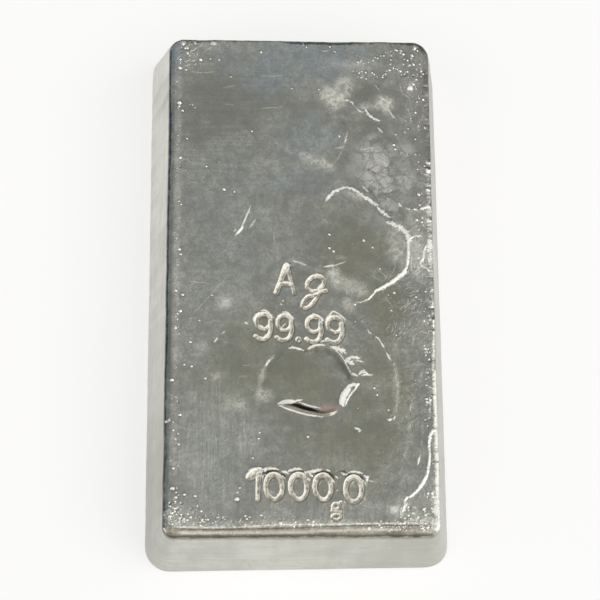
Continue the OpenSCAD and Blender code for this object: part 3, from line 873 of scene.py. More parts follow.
# the points are in rows, so each bead only works on its own few
def beadRelief(across, along, lineAcross, lineAlong):
    height, edge = np.zeros((2, *across.shape))
    bent = 0.5 * gradientNoise(across, along, 0.4, seed=55)
    for a, b, r, rise, white in makeBeads():
        reach = 2 * r + 0.2
        columns = slice(*np.searchsorted(lineAcross, [a - reach, a + reach]))
        rows = slice(*np.searchsorted(lineAlong, [b - reach, b + reach]))
        u, v = across[columns, rows] - a, along[columns, rows] - b
        x = (u ** 2 + v ** 2) / r ** 2
        height[columns, rows] += rise * np.clip(1 - x, 0, 1) ** 1.2
        # a painted highlight on the top, and a painted shadow on the lower right
        x = x * (1 + bent[columns, rows])
        shade = ((u - 0.25 * r) ** 2 + (v + 0.3 * r) ** 2) / r ** 2
        mask = np.where(x < 0.9, white * smooth(1.0, 0.3, x), -0.35 * smooth(2.6, 1.1, shade))
        edge[columns, rows] = stronger(edge[columns, rows], mask)
    return height, edge


def perCorner(name, across, along):
    values = barForm[name]
    front = np.where(across < faceWidth / 2, values["frontLeft"], values["frontRight"])
    back = np.where(across < faceWidth / 2, values["backLeft"], values["backRight"])
    return np.where(along < faceLength / 2, front, back)


# how far each point is from the mould's edge, up to the corner radius, and which way is out
def outward(across, along):
    corner = perCorner("faceCorners", across, along)
    a = across - np.clip(across, corner, faceWidth - corner)
    b = along - np.clip(along, corner, faceLength - corner)
    length = np.hypot(a, b)
    safe = np.maximum(length, 1e-9)
    return corner - length, a / safe, b / safe


# share of each side of the bar in the way that a point faces
def sideShares(outAcross, outAlong):
    ways = {"left": -outAcross, "right": outAcross, "front": -outAlong, "back": outAlong}
    return {side: np.maximum(way, 0) ** 2 for side, way in ways.items()}


def rollShares(along, outAcross, outAlong):
    shares = sideShares(outAcross, outAlong)
    shares["right"] = shares["right"] * smooth(*barForm["rollStart"], along)
    return shares


# radius of the rim, the tilt it starts with, and its reach inward from the edge
def rimShape(across, along, outAcross, outAlong):
    shares = sideShares(outAcross, outAlong)
    radii = dict(barForm["rimRadii"])
    further = smooth(*barForm["rimChange"], along)
    radii["right"] = radii["right"] + (radii["rightBack"] - radii["right"]) * further
    radius = sum(share * radii[side] for side, share in shares.items())
    radius = np.maximum(radius * (1 + barForm["rimWave"] * ripple(across, along, 5, 3, seed=140)), 0.3)
    start = np.radians(sum(share * barForm["rimBreak"][side] for side, share in shares.items()))
    end = math.pi / 2 - draft
    reach = radius * (math.sin(end) - np.sin(start) - math.tan(draft) * (np.cos(start) - math.cos(end)))
    return radius, start, reach


def rimDrop(across, along):
    fromEdge, outAcross, outAlong = outward(across, along)
    radius, start, reach = rimShape(across, along, outAcross, outAlong)
    x = np.clip(np.sin(start) + (reach - fromEdge) / radius, np.sin(start), math.cos(draft))
    drop = radius * (np.cos(start) - np.sqrt(1 - x * x))
    for side, share in rollShares(along, outAcross, outAlong).items():
        height, width = barForm["rimRoll"][side]
        drop = drop + share * height * np.clip(1 - fromEdge / width, 0, 1) ** 2
    return drop


# painted highlights along the marks' grooves, the folds, the thin lines and the pool's lip (above 0), and
# painted shade and the dark crystal borders (below 0)
def edgeMask(across, along):
    mask = poolRelief(across, along)[1]
    for part in (markRelief(across, along)[3], foldRelief(across, along)[1], lineRelief(across, along)[1]):
        mask = stronger(mask, part)
    return mask


def waves(name, x, y, octaves, seed):
    height, size = barForm["waves"][name]
    return height * ripple(x, y, size, octaves, seed)


# everything that stands above or below the plane of the marked face, apart from the rim
def faceRelief(across, along, beads):
    depth, lip, _, _ = markRelief(across, along)
    flow = lapRelief(across, along) + lineRelief(across, along)[0] + poolRelief(across, along)[0]
    swell = waves("faceSwell", across, along, 3, seed=20) + waves("faceRipples", across, along, 2, seed=30)
    height, size = barForm["waves"]["rightSide"]
    rough = smooth(32, 46, across) * height * ripple(across, along, size, 2, seed=40)     # right of the marks
    folds = foldRelief(across, along)[0]
    beads = beads * (1 - smooth(0.02, 0.1, depth))
    return flow + swell + rough + folds + beads + lip - depth


def skinMask(kind, across, along):
    mask = np.zeros(across.shape)
    broken = ripple(across, along, 3.2, 4, seed=100 + 5 * list(skinPatches).index(kind))
    for centre, size, turn, strength in skinPatches[kind]:
        x, y = rotate(across - centre[0], along - centre[1], -turn)
        reach = np.hypot(x / size[0], y / size[1])
        mask = np.maximum(mask, strength * smooth(1.6, 0.3, reach + 0.45 * broken))
    return mask


# turns the square corner cells of the flat face into a round corner
def roundCorners(across, along):
    corner = perCorner("faceCorners", across, along)
    size = corner - rimReach
    a = np.where(across < faceWidth / 2, corner - across, across - faceWidth + corner) / size
    b = np.where(along < faceLength / 2, corner - along, along - faceLength + corner) / size
    inCorner = (a > 1e-9) & (b > 1e-9)
    a, b, size = a[inCorner], b[inCorner], size[inCorner]
    angle = np.where(a >= b, b / a, 2 - a / b) * math.pi / 4
    radius = np.maximum(a, b)
    signA = np.where(across[inCorner] < faceWidth / 2, -1, 1)
    signB = np.where(along[inCorner] < faceLength / 2, -1, 1)
    across, along = across.copy(), along.copy()
    across[inCorner] += signA * size * (radius * np.cos(angle) - a)
    along[inCorner] += signB * size * (radius * np.sin(angle) - b)
    return across, along


# moves the points of a square bar to where the mould puts them
def fromMould(points):
    x, y = points[:, 0] - faceWidth / 2, points[:, 1] - faceLength / 2
    low = 1 - points[:, 2] / thickness
    corner = perCorner("faceCorners", points[:, 0], points[:, 1])
    pastX = np.sign(x) * np.maximum(np.abs(x) - faceWidth / 2 + corner, 0)
    pastY = np.sign(y) * np.maximum(np.abs(y) - faceLength / 2 + corner, 0)
    length = np.maximum(np.hypot(pastX, pastY), 1e-9)
    shareX, shareY = np.abs(pastX) / length, np.abs(pastY) / length
    power = 2 + (perCorner("footCorners", points[:, 0], points[:, 1]) - 2) * np.clip(low, 0, 1)
    squarer = (shareX ** power + shareY ** power + 1e-12) ** (-1 / power) - 1
    squarer = np.where((pastX != 0) & (pastY != 0), squarer, 0)
    x, y = x + pastX * squarer, y + pastY * squarer
    a, b = np.clip(points[:, 0] / faceWidth, 0, 1), np.clip(points[:, 1] / faceLength, 0, 1)
    place = {"left": b, "right": b, "front": a, "back": a}
    shift = {}
    for side, (start, end) in barForm["footShift"].items():
        shift[side] = low * (start + (end - start) * place[side])
    moveX = np.where(x < 0, shift["left"], shift["right"]) * 2 * x / faceWidth
    moveY = np.where(y < 0, shift["front"], shift["back"]) * 2 * y / faceLength
    return np.column_stack([
        x + moveX + barForm["sideLean"] * (y + faceLength / 2),
        y + moveY + barForm["endTurn"] * x,
        points[:, 2],
    ])


# furthest that the surface strays from a flat cell of this many steps
def strayFromCell(surface, steps):
    corners = surface[::steps, ::steps]
    a, b, c, d = corners[:-1, :-1], corners[1:, :-1], corners[:-1, 1:], corners[1:, 1:]
    stray = np.zeros(a.shape)
    for i in range(steps + 1):
        for j in range(steps + 1):
            s, t = i / steps, j / steps
            flat = (a * (1 - s) + b * s) * (1 - t) + (c * (1 - s) + d * s) * t
            real = surface[i::steps, j::steps][:a.shape[0], :a.shape[1]]
            stray = np.maximum(stray, np.abs(real - flat))
    return stray


def spread(mask):
    wide = np.pad(mask, 1)
    columns, rows = mask.shape
    return np.any([wide[i:i + columns, j:j + rows] for i in range(3) for j in range(3)], axis=0)


# which cells stay whole at each size
# neighbours differ by one halving at most, and all cells along the border are halved alike
def chooseCells(surface):
    halvings = meshDetail["halvings"]
    tolerance = meshDetail["tolerance"]
    halved = [strayFromCell(surface, 2 ** (halvings - k)) > tolerance for k in range(halvings)]
    for k, mask in enumerate(halved):
        border = k < halvings - 1
        mask[[0, -1], :] = border
        mask[:, [0, -1]] = border
    for k in range(halvings - 1, 0, -1):
        columns, rows = halved[k - 1].shape
        halved[k - 1] |= spread(halved[k]).reshape(columns, 2, rows, 2).any(axis=(1, 3))
    whole = []
    present = np.ones(halved[0].shape, bool)
    for mask in halved:
        whole.append(present & ~mask)
        present = np.repeat(np.repeat(present & mask, 2, axis=0), 2, axis=1)
    return whole + [present]


# faces over the chosen cells, as places in the finest grid: quads, and fans where a neighbour is finer
def coverCells(whole, shape):
    halvings = meshDetail["halvings"]
    used = np.zeros(shape, bool)
    cells = []
    for k, mask in enumerate(whole):
        steps = 2 ** (halvings - k)
        i, j = np.nonzero(mask)
        cells.append((steps, i * steps, j * steps))
        for a in (0, steps):
            for b in (0, steps):
                used[i * steps + a, j * steps + b] = True
    faces = []
    centres = []
    for steps, i, j in cells:
        half = steps // 2
        middles = np.array([used[i + half, j], used[i + steps, j + half],
                            used[i + half, j + steps], used[i, j + half]]) & (steps > 1)
        plain = ~middles.any(axis=0)
        for a, b in zip(i[plain], j[plain]):
            faces.append([(a, b), (a + steps, b), (a + steps, b + steps), (a, b + steps)])
        for a, b, split in zip(i[~plain], j[~plain], middles[:, ~plain].T):
            around = [(a, b), (a + half, b), (a + steps, b), (a + steps, b + half),
                      (a + steps, b + steps), (a + half, b + steps), (a, b + steps), (a, b + half)]
            around = [place for k, place in enumerate(around) if k % 2 == 0 or split[k // 2]]
            centres.append((a + half, b + half))
            for k, place in enumerate(around):
                faces.append([centres[-1], place, around[(k + 1) % len(around)]])
    for place in centres:
        used[place] = True
    return used, faces


struckFinish, wallFinish, pouredFinish = range(3)


# places of the finest grid's lines, from one side of the flat face to the other
def gridLines(size):
    cells = round((size - 2 * rimReach) / meshDetail["cell"])
    return np.linspace(rimReach, size - rimReach, cells * 2 ** meshDetail["halvings"] + 1)


# the marked face up to its rim: points, faces, values along its border, and the beads' painted highlights and
# shadows
def makeFlatFace():
    lineAcross, lineAlong = gridLines(faceWidth), gridLines(faceLength)
    across, along = roundCorners(*np.meshgrid(lineAcross, lineAlong, indexing="ij"))
    beads, beadEdges = beadRelief(across, along, lineAcross, lineAlong)
    relief = faceRelief(across, along, beads)
    surface = thickness + relief - rimDrop(across, along)
    detail = surface + meshDetail["edgeWeight"] * stronger(edgeMask(across, along), beadEdges)
    used, cells = coverCells(chooseCells(detail), surface.shape)
    index = np.full(used.shape, -1)
    index[used] = np.arange(used.sum())
    faces = [[int(index[place]) for place in cell] for cell in cells]
    points = np.column_stack([across[used], along[used], surface[used]])

    # the border runs anticlockwise; its cells are all halved alike, so every second step has a point
    walk = [(slice(0, -1, 2), 0), (-1, slice(0, -1, 2)), (slice(-1, 0, -2), -1), (0, slice(-1, 0, -2))]
    grids = {"index": index, "across": across, "along": along, "relief": relief}
    border = {name: np.concatenate([grid[place] for place in walk]) for name, grid in grids.items()}
    return points, faces, border, beadEdges[used]


# offset outward from the border of the flat face, drop below it and tilt, row by row
def rimRows(radius, start, reach):
    first = np.arcsin(np.sin(start) + np.maximum(reach - rimReach, 0) / radius)
    before = np.maximum(rimReach - reach, 0)
    for k in range(1, meshDetail["rimRows"] + 1):
        tilt = first + (math.pi / 2 - draft - first) * k / meshDetail["rimRows"]
        offset = before + radius * (np.sin(tilt) - np.sin(first))
        yield offset, radius * (np.cos(start) - np.cos(tilt)), tilt


# rows of the rim, the wall and the foot: offset outward, height, tilt and finish
def sideRows(radius, start, reach, roll):
    for offset, drop, tilt in rimRows(radius, start, reach):
        rimEnd = (offset, thickness - drop - roll)
        steep = np.mean(tilt) > math.radians(barForm["wallTilt"])
        yield *rimEnd, tilt, wallFinish if steep else struckFinish
    foot = barForm["footRadius"]
    footCentre = rimReach + lean - footReach
    footTop = (footCentre + foot * math.cos(draft), foot + foot * math.sin(draft))
    for k in range(1, meshDetail["wallRows"] + 1):
        t = k / (meshDetail["wallRows"] + 1)
        offset, height = (a + (b - a) * t for a, b in zip(rimEnd, footTop))
        yield offset, height, math.pi / 2 - draft, wallFinish
    for k in range(meshDetail["footRows"] + 1):
        angle = draft - (math.pi / 2 + draft) * k / meshDetail["footRows"]
        offset, height = footCentre + foot * math.cos(angle), foot + foot * math.sin(angle)
        yield offset, height, math.pi / 2 - angle, wallFinish


# rim, walls and foot, ring by ring, with the slight waves of a casting: points, faces, finishes,
# how dark the painted shade along the rim's edge is, and the last ring
def makeSides(border, count):
    _, outAcross, outAlong = outward(border["across"], border["along"])
    radius, start, reach = rimShape(border["across"], border["along"], outAcross, outAlong)
    shares = sideShares(outAcross, outAlong)
    darkened = sum(barForm["rimShade"][side] * shares[side] for side in ("left", "front", "back"))
    darkened = darkened + barForm["rimShade"]["backRight"] * shares["right"] * shares["back"]
    rolled = rollShares(border["along"], outAcross, outAlong)
    roll = sum(share * barForm["rimRoll"][side][0] for side, share in rolled.items())
    fadeIn, fadeOut = barForm["shadeTilts"]
    ring = border["index"]
    total = len(ring)
    points, faces, finish, shade = [], [], [], []
    for offset, height, tilt, kind in sideRows(radius, start, reach, roll):
        a = border["across"] + outAcross * offset
        b = border["along"] + outAlong * offset
        drop = thickness - height
        wave = waves("wallSwell", a + drop, b - drop, 2, seed=70)
        wave = wave + waves("wallRipples", a, b + drop * 3, 2, seed=80)
        # no waves where the rim starts, or at the ground
        wave = wave * smooth(0, 0.5, tilt) * smooth(0, 1.5, height)
        a = a + outAcross * wave * np.sin(tilt)
        b = b + outAlong * wave * np.sin(tilt)
        carried = border["relief"] * np.clip(1 - drop / barForm["rimRadius"], 0, 1)
        points.append(np.column_stack([a, b, np.maximum(height + carried + wave * np.cos(tilt), 0)]))
        degrees = np.degrees(tilt) + np.zeros(total)
        shade.append(darkened * smooth(*fadeIn, degrees) * smooth(*fadeOut, degrees))
        below = np.arange(count, count + total)
        faces += np.column_stack([ring, below, np.roll(below, -1), np.roll(ring, -1)]).tolist()
        finish += [kind] * total
        ring = below
        count += total
    return np.vstack(points), faces, finish, np.concatenate(shade), ring


# the poured face inside the last ring, sunken a little in the middle, with slow ripples: points and faces
def makePouredSide(outline, ring, count):
    pitch = meshDetail["underPitch"]
    low, high = outline.min(axis=0), outline.max(axis=0)
    inside = [(a, b) for a in np.arange(low[0] + pitch, high[0] - pitch * 0.6, pitch)
              for b in np.arange(low[1] + pitch, high[1] - pitch * 0.6, pitch)]
    flat = [Vector(p) for p in outline] + [Vector(p) for p in inside if cornerClear(p, low, high)]
    loop = [(k, (k + 1) % len(ring)) for k in range(len(ring))]
    made = delaunay_2d_cdt(flat, loop, [], 1, 1e-5)
    spots = np.array([tuple(p) for p in made[0]])
    fromEdge = np.minimum(spots - low, high - spots).min(axis=1)
    swell = waves("pouredSwell", spots[:, 0], spots[:, 1], 2, seed=90)
    height = np.maximum(smooth(0.5, 16, fromEdge) * (barForm["sunken"] + swell), 0)
    where, points = [], []
    for k, sources in enumerate(made[3]):
        if sources and sources[0] < len(ring):
            where.append(int(ring[sources[0]]))
        else:
            where.append(count + len(points))
            points.append((*spots[k], height[k]))
    return np.array(points), [[where[k] for k in reversed(face)] for face in made[2]]


# true for points of the poured face that are well inside its round corners
def cornerClear(spot, low, high):
    radius = max(barForm["faceCorners"].values()) + lean
    a = max(low[0] + radius - spot[0], spot[0] - high[0] + radius, 0)
    b = max(low[1] + radius - spot[1], spot[1] - high[1] + radius, 0)
    return math.hypot(a, b) < radius - meshDetail["underClear"]


def paintMask(mesh, name, values):
    mask = mesh.attributes.new(name, "FLOAT", "POINT")
    mask.data.foreach_set("value", values)


def makeBar():
    flat, faces, border, beadEdges = makeFlatFace()
    finish = [struckFinish] * len(faces)
    sides, sideFaces, sideFinish, shade, ring = makeSides(border, len(flat))
    under, underFaces = makePouredSide(sides[-len(ring):, :2], ring, len(flat) + len(sides))
    faces += sideFaces + underFaces
    finish += sideFinish + [pouredFinish] * len(underFaces)
    points = np.vstack([flat, sides, under])
    mesh = bpy.data.meshes.new("silver_bar")
    mesh.from_pydata([tuple(p) for p in fromMould(points) * mm], [], faces)
    mesh.polygons.foreach_set("material_index", finish)
    mesh.shade_smooth()

    across, along = points[:, 0], points[:, 1]
    for kind in skinPatches:
        paintMask(mesh, kind, skinMask(kind, across, along))
    paintMask(mesh, "struck", markRelief(across, along)[2])
    # painted light: highlights above 0, painted shade and the dark crystal borders below 0
    paintedLight = edgeMask(across, along)
    paintedLight[:len(flat)] = stronger(paintedLight[:len(flat)], beadEdges)
    # painted highlights go in one mask, painted shade with the dark crystal borders in the other
    paintMask(mesh, "paintedHighlight", np.maximum(paintedLight, 0))
    paintMask(mesh, "paintedShadeAndVeins", np.maximum(-paintedLight, 0))
    paintMask(mesh, "edgeShade", np.concatenate([np.zeros(len(flat)), shade, np.zeros(len(under))]))

    bar = bpy.data.objects.new("silver_bar", mesh)
    scene.collection.objects.link(bar)
    triangles = sum(len(face) - 2 for face in faces)
    print("bar made:", len(points), "points,", triangles, "triangles")
    return bar


bar = makeBar()


# shader building: nodes, links, sums and mixes

def put(tree, value, socket):
    if isinstance(value, bpy.types.NodeSocket):
        tree.links.new(value, socket)
    elif socket.type == "RGBA":
        socket.default_value = (*value, 1)
    else:
        socket.default_value = value


# a new node: what goes into its inputs, by name or place, and its own settings
def addNode(tree, kind, inputs=None, **settings):
    node = tree.nodes.new(kind)
    for name, value in settings.items():
        setattr(node, name, value)
    for name, value in (inputs or {}).items():
        put(tree, value, node.inputs[name])
    return node


def combine(tree, operation, first, second):
    return addNode(tree, "ShaderNodeMath", {0: first, 1: second}, operation=operation).outputs[0]


def times(tree, first, second):
    return combine(tree, "MULTIPLY", first, second)


def plus(tree, first, second):
    return combine(tree, "ADD", first, second)


def addVector(tree, operation, inputs):
    return addNode(tree, "ShaderNodeVectorMath", inputs, operation=operation).outputs


def remap(tree, value, low, high, start=0.0, end=1.0):
    ends = {"Value": value, "From Min": low, "From Max": high, "To Min": start, "To Max": end}
    return addNode(tree, "ShaderNodeMapRange", ends, interpolation_type="SMOOTHSTEP").outputs["Result"]


def blend(tree, share, first, second):
    return addNode(tree, "ShaderNodeMix", {0: share, 6: first, 7: second}, data_type="RGBA").outputs[2]


def painted(tree, name):
    return addNode(tree, "ShaderNodeAttribute", attribute_name=name).outputs["Fac"]


def useGroup(tree, group, values):
    return addNode(tree, "ShaderNodeGroup", values, node_tree=group).outputs


# inputs with their first values, where three numbers are a colour, and the names of the outputs
def newGroup(name, inputs, outputs):
    tree = bpy.data.node_groups.new(name, "ShaderNodeTree")
    for label, value in inputs.items():
        isColour = isinstance(value, tuple)
        kind = "NodeSocketColor" if isColour else "NodeSocketFloat"
        socket = tree.interface.new_socket(label, in_out="INPUT", socket_type=kind)
        socket.default_value = (*value, 1) if isColour else value
    for label in outputs:
        kind = "NodeSocketColor" if label == "Colour" else "NodeSocketFloat"
        tree.interface.new_socket(label, in_out="OUTPUT", socket_type=kind)
    given = addNode(tree, "NodeGroupInput").outputs
    result = addNode(tree, "NodeGroupOutput").inputs
    return tree, given, result, addNode(tree, "ShaderNodeTexCoord").outputs["Object"]


def addNoise(tree, place, scale, **settings):
    return addNode(tree, "ShaderNodeTexNoise", {"Vector": place, "Scale": scale, **settings}).outputs


def addCells(tree, place, scale, feature):
    return addNode(tree, "ShaderNodeTexVoronoi", {"Vector": place, "Scale": scale}, feature=feature).outputs


# soft clouds between two colours; Scale is clouds per metre
def makeCloudyTint():
    inputs = {"Scale": 100.0, "Contrast": 0.2, "Dark": (0.5, 0.5, 0.5), "Light": (0.8, 0.8, 0.8)}
    tree, given, result, place = newGroup("cloudyTint", inputs, ["Colour", "Mask"])
    noise = addNoise(tree, place, given["Scale"], Detail=7, Roughness=0.66, Distortion=0.6)
    centred = combine(tree, "SUBTRACT", noise["Fac"], 0.5)
    mask = remap(tree, combine(tree, "DIVIDE", centred, given["Contrast"]), -0.7, 0.7)
    put(tree, mask, result["Mask"])
    put(tree, blend(tree, mask, given["Dark"], given["Light"]), result["Colour"])
    return tree


# long soft streaks; Across, Along and Up are streaks per metre each way
def makeWipedStreaks():
    inputs = {"Across": 1500.0, "Along": 120.0, "Up": 500.0}
    tree, given, result, place = newGroup("wipedStreaks", inputs, ["Mask"])
    ways = {"X": given["Across"], "Y": given["Along"], "Z": given["Up"]}
    scale = addNode(tree, "ShaderNodeCombineXYZ", ways).outputs[0]
    stretched = addVector(tree, "MULTIPLY", {0: place, 1: scale})[0]
    noise = addNoise(tree, stretched, 1, Detail=3, Roughness=0.6)
    put(tree, remap(tree, noise["Fac"], 0.3, 0.7), result["Mask"])
    return tree


# fine cast grain with specks in it; Scale is grains per metre
def makeFineGrain():
    tree, given, result, place = newGroup("fineGrain", {"Scale": 2000.0}, ["Height", "Tone", "Specks"])
    grain = addNoise(tree, place, given["Scale"], Detail=3, Roughness=0.6)
    put(tree, grain["Fac"], result["Height"])
    put(tree, remap(tree, grain["Fac"], 0.34, 0.66), result["Tone"])
    coarse = addNoise(tree, place, times(tree, given["Scale"], 0.6), Detail=2)
    put(tree, remap(tree, coarse["Fac"], 0.60, 0.72), result["Specks"])
    return tree


# veins between crystals, and a tone for each crystal; Scale is crystals per metre
def makeCrystalVeins():
    tree, given, result, place = newGroup("crystalVeins", {"Scale": 500.0, "Width": 0.12}, ["Mask", "Tone"])
    bend = addNoise(tree, place, given["Scale"], Detail=4)
    shift = addVector(tree, "SCALE", {0: bend["Color"], "Scale": 0.0036})[0]
    moved = addVector(tree, "ADD", {0: place, 1: shift})[0]
    edge = addCells(tree, moved, given["Scale"], "DISTANCE_TO_EDGE")["Distance"]
    put(tree, remap(tree, combine(tree, "DIVIDE", edge, given["Width"]), 0, 1, 1, 0), result["Mask"])
    put(tree, addCells(tree, moved, given["Scale"], "F1")["Color"], result["Tone"])
    return tree


# thin lines that wander; Scale is turns per metre
def makeCurlyFolds():
    tree, given, result, place = newGroup("curlyFolds", {"Scale": 300.0, "Width": 0.03}, ["Mask"])
    noise = addNoise(tree, place, given["Scale"], Detail=3, Roughness=0.55, Distortion=1.8)
    off = combine(tree, "ABSOLUTE", combine(tree, "SUBTRACT", noise["Fac"], 0.5), 0.0)
    put(tree, remap(tree, combine(tree, "DIVIDE", off, given["Width"]), 0, 1, 1, 0), result["Mask"])
    return tree


cloudyTint = makeCloudyTint()
wipedStreaks = makeWipedStreaks()
fineGrain = makeFineGrain()
crystalVeins = makeCrystalVeins()
curlyFolds = makeCurlyFolds()


def newMaterial(name):
    material = bpy.data.materials.new(name)
    material.use_nodes = True
    tree = material.node_tree
    return material, tree, tree.nodes["Principled BSDF"]


# lays colours over one another, each by its own mask and share
def layColours(tree, colour, layers, masks):
    for name, (share, tint) in layers.items():
        colour = blend(tree, times(tree, masks[name], share), colour, tint)
    return colour


# a value and what each mask adds to it
def addUp(tree, value, amounts, masks):
    for name, amount in amounts.items():
        value = plus(tree, value, times(tree, masks[name], amount))
    return value


def addBump(tree, shader, heights, masks):
    bump = {"Strength": 1, "Distance": mm, "Height": addUp(tree, 0.0, heights, masks)}
    put(tree, addNode(tree, "ShaderNodeBump", bump).outputs["Normal"], shader.inputs["Normal"])


# surface of the struck face and its rim; a layer is its share and its colour, and heights are in mm

grey = (0.360, 0.360, 0.328)
struckFace = {
    "clouds": {"Scale": 150.0, "Contrast": 0.20,
               "Dark": (0.500, 0.503, 0.460), "Light": (0.860, 0.868, 0.798)},
    "mottle": {"Scale": 480.0, "Contrast": 0.20},
    "threads": {"Scale": 1200.0, "Contrast": 0.13},
    "threadShare": 0.6,     # how much of a haze its threads leave open
    "stroke": {"Scale": 1300.0, "Contrast": 0.16,
               "Dark": (0.31, 0.27, 0.20), "Light": (0.83, 0.795, 0.70)},
    "grain": {"Scale": 1900.0},
    "grit": {"Scale": 5200.0},
    "brushed": {"Across": 2400.0, "Along": 150.0, "Up": 500.0},
    "wiped": {"Across": 130.0, "Along": 1900.0, "Up": 500.0},
    "folds": {"Scale": 420.0, "Width": 0.06},
    "veins": {"Scale": 430.0, "Width": 0.16},
    # how much of each kind of line shows outside its own patches
    "everywhere": {"lengthways": 0.12, "sideways": 0.16, "wrinkles": 0.10},
    "layers": {
        "olive": (1.0, (0.485, 0.477, 0.325)),
        "dull": (1.0, (0.468, 0.468, 0.438)),
        "pale": (1.0, (0.86, 0.87, 0.815)),
        "blue": (1.0, (0.61, 0.705, 0.80)),
        "stain": (1.0, (0.45, 0.25, 0.21)),
        "shade": (1.0, (0.282, 0.282, 0.234)),
        "mottle": (0.52, grey),
        "grain": (0.40, grey),
        "grit": (0.42, grey),
        "lengthways": (0.18, (0.73, 0.735, 0.705)),
        "sideways": (0.36, (0.30, 0.305, 0.28)),
        "wrinkles": (0.22, (0.73, 0.73, 0.70)),
        "cells": (0.74, (0.93, 0.93, 0.90)),
        "cracks": (0.55, (0.25, 0.25, 0.22)),
        "specks": (0.30, (0.28, 0.28, 0.26)),
        "haze": (1.0, (0.88, 0.88, 0.81)),
    },
    # over the strokes of the marks: painted shade with the dark crystal borders, painted highlights, and the
    # painted shade line at the rim's edge
    "topLayers": {
        "paintedShadeAndVeins": (1.0, (0.07, 0.06, 0.045)),
        "paintedLight": (1.0, (0.98, 0.975, 0.94)),
        "edgeShade": (0.85, (0.096, 0.093, 0.089)),
    },
    # how much of the metal's shine each takes away
    "lost": {"haze": 0.46, "struck": 0.60, "stain": 0.8, "paintedLight": 0.95},
    "roughness": 0.15,
    "rougher": {"clouds": 0.06, "haze": 0.28, "struck": 0.25, "paintedLight": 0.20, "lengthways": 0.10},
    "heights": {
        "relief": 0.030, "lengthways": 0.010, "sideways": 0.010, "wrinkles": 0.008, "cracks": -0.02,
    },
}


def makeStruckFace(look):
    material, tree, shader = newMaterial("struckFaceSilver")
    clouds, mottle, threads, stroke = (useGroup(tree, cloudyTint, look[name])
                                       for name in ("clouds", "mottle", "threads", "stroke"))
    grain, grit = (useGroup(tree, fineGrain, look[name]) for name in ("grain", "grit"))
    veins = useGroup(tree, crystalVeins, look["veins"])
    masks = {kind: painted(tree, kind) for kind in (*skinPatches, "struck", "paintedShadeAndVeins", "paintedHighlight", "edgeShade")}
    masks |= {"clouds": clouds["Mask"], "mottle": mottle["Mask"], "grit": grit["Tone"],
              "grain": grain["Tone"], "specks": grain["Specks"], "relief": grain["Height"]}
    lines = {
        "lengthways": ("brushed", useGroup(tree, wipedStreaks, look["brushed"])),
        "sideways": ("wiped", useGroup(tree, wipedStreaks, look["wiped"])),
        "wrinkles": ("wrinkled", useGroup(tree, curlyFolds, look["folds"])),
    }
    for name, (kind, pattern) in lines.items():
        where = plus(tree, masks[kind], look["everywhere"][name])
        masks[name] = times(tree, where, pattern["Mask"])
    masks["cells"] = times(tree, masks["crackle"], remap(tree, veins["Tone"], 0.32, 0.62))
    masks["cracks"] = times(tree, masks["crackle"], veins["Mask"])
    solid = plus(tree, times(tree, threads["Mask"], look["threadShare"]), 1 - look["threadShare"])
    masks["haze"] = times(tree, masks["haze"], solid)
    masks["paintedLight"] = combine(tree, "MAXIMUM", times(tree, masks["paintedLight"], threads["Mask"]), masks["paintedHighlight"])

    colour = layColours(tree, clouds["Colour"], look["layers"], masks)
    colour = blend(tree, masks["struck"], colour, stroke["Colour"])
    put(tree, layColours(tree, colour, look["topLayers"], masks), shader.inputs["Base Color"])
    lost = 0.0
    for name, share in look["lost"].items():
        lost = combine(tree, "MAXIMUM", lost, times(tree, masks[name], share))
    put(tree, combine(tree, "SUBTRACT", 1.0, lost), shader.inputs["Metallic"])
    put(tree, addUp(tree, look["roughness"], look["rougher"], masks), shader.inputs["Roughness"])
    addBump(tree, shader, look["heights"], masks)
    return material


# surface of the walls, which the mould leaves matt

smudge = (0.469, 0.458, 0.415)
mouldWall = {
    "clouds": {"Scale": 170.0, "Contrast": 0.22,
               "Dark": (0.585, 0.584, 0.540), "Light": (0.665, 0.664, 0.622)},
    "streaks": {"Across": 90.0, "Along": 90.0, "Up": 1500.0},
    "grain": {"Scale": 1400.0},
    "layers": {
        # on the left wall the pale and dull patches are painted light, lighter at the back and darker at the
        # front
        "pale": (1.0, (0.87, 0.868, 0.815)),
        "dull": (1.0, (0.527, 0.526, 0.473)),
        "streaks": (0.30, smudge),
        "specks": (0.35, smudge),
        # painted shade along the line where the rim turns to the wall
        "edgeShade": (0.85, (0.096, 0.093, 0.089)),
    },
    "metallic": 0.75,
    "roughness": 0.5,
    "heights": {"relief": 0.03, "streaks": 0.02},
}


def makeMouldWall(look):
    material, tree, shader = newMaterial("mouldWallSilver")
    clouds = useGroup(tree, cloudyTint, look["clouds"])
    grain = useGroup(tree, fineGrain, look["grain"])
    masks = {kind: painted(tree, kind) for kind in ("pale", "dull", "edgeShade")}
    masks |= {"streaks": useGroup(tree, wipedStreaks, look["streaks"])["Mask"], "specks": grain["Specks"],
              "relief": grain["Height"]}
    put(tree, layColours(tree, clouds["Colour"], look["layers"], masks), shader.inputs["Base Color"])
    put(tree, look["metallic"], shader.inputs["Metallic"])
    put(tree, look["roughness"], shader.inputs["Roughness"])
    addBump(tree, shader, look["heights"], masks)
    return material


# surface of the poured face, which sets in the open air

pouredFace = {
    "clouds": {"Scale": 110.0, "Contrast": 0.22,
               "Dark": (0.444, 0.444, 0.415), "Light": (0.563, 0.563, 0.533)},
    "veins": {"Scale": 260.0, "Width": 0.1},
    "grain": {"Scale": 1400.0},
    "layers": {"crystals": (0.18, (0.67, 0.67, 0.64))},
    "metallic": 1.0,
    "roughness": 0.3,
    "heights": {"relief": 0.02, "veins": -0.03},
}


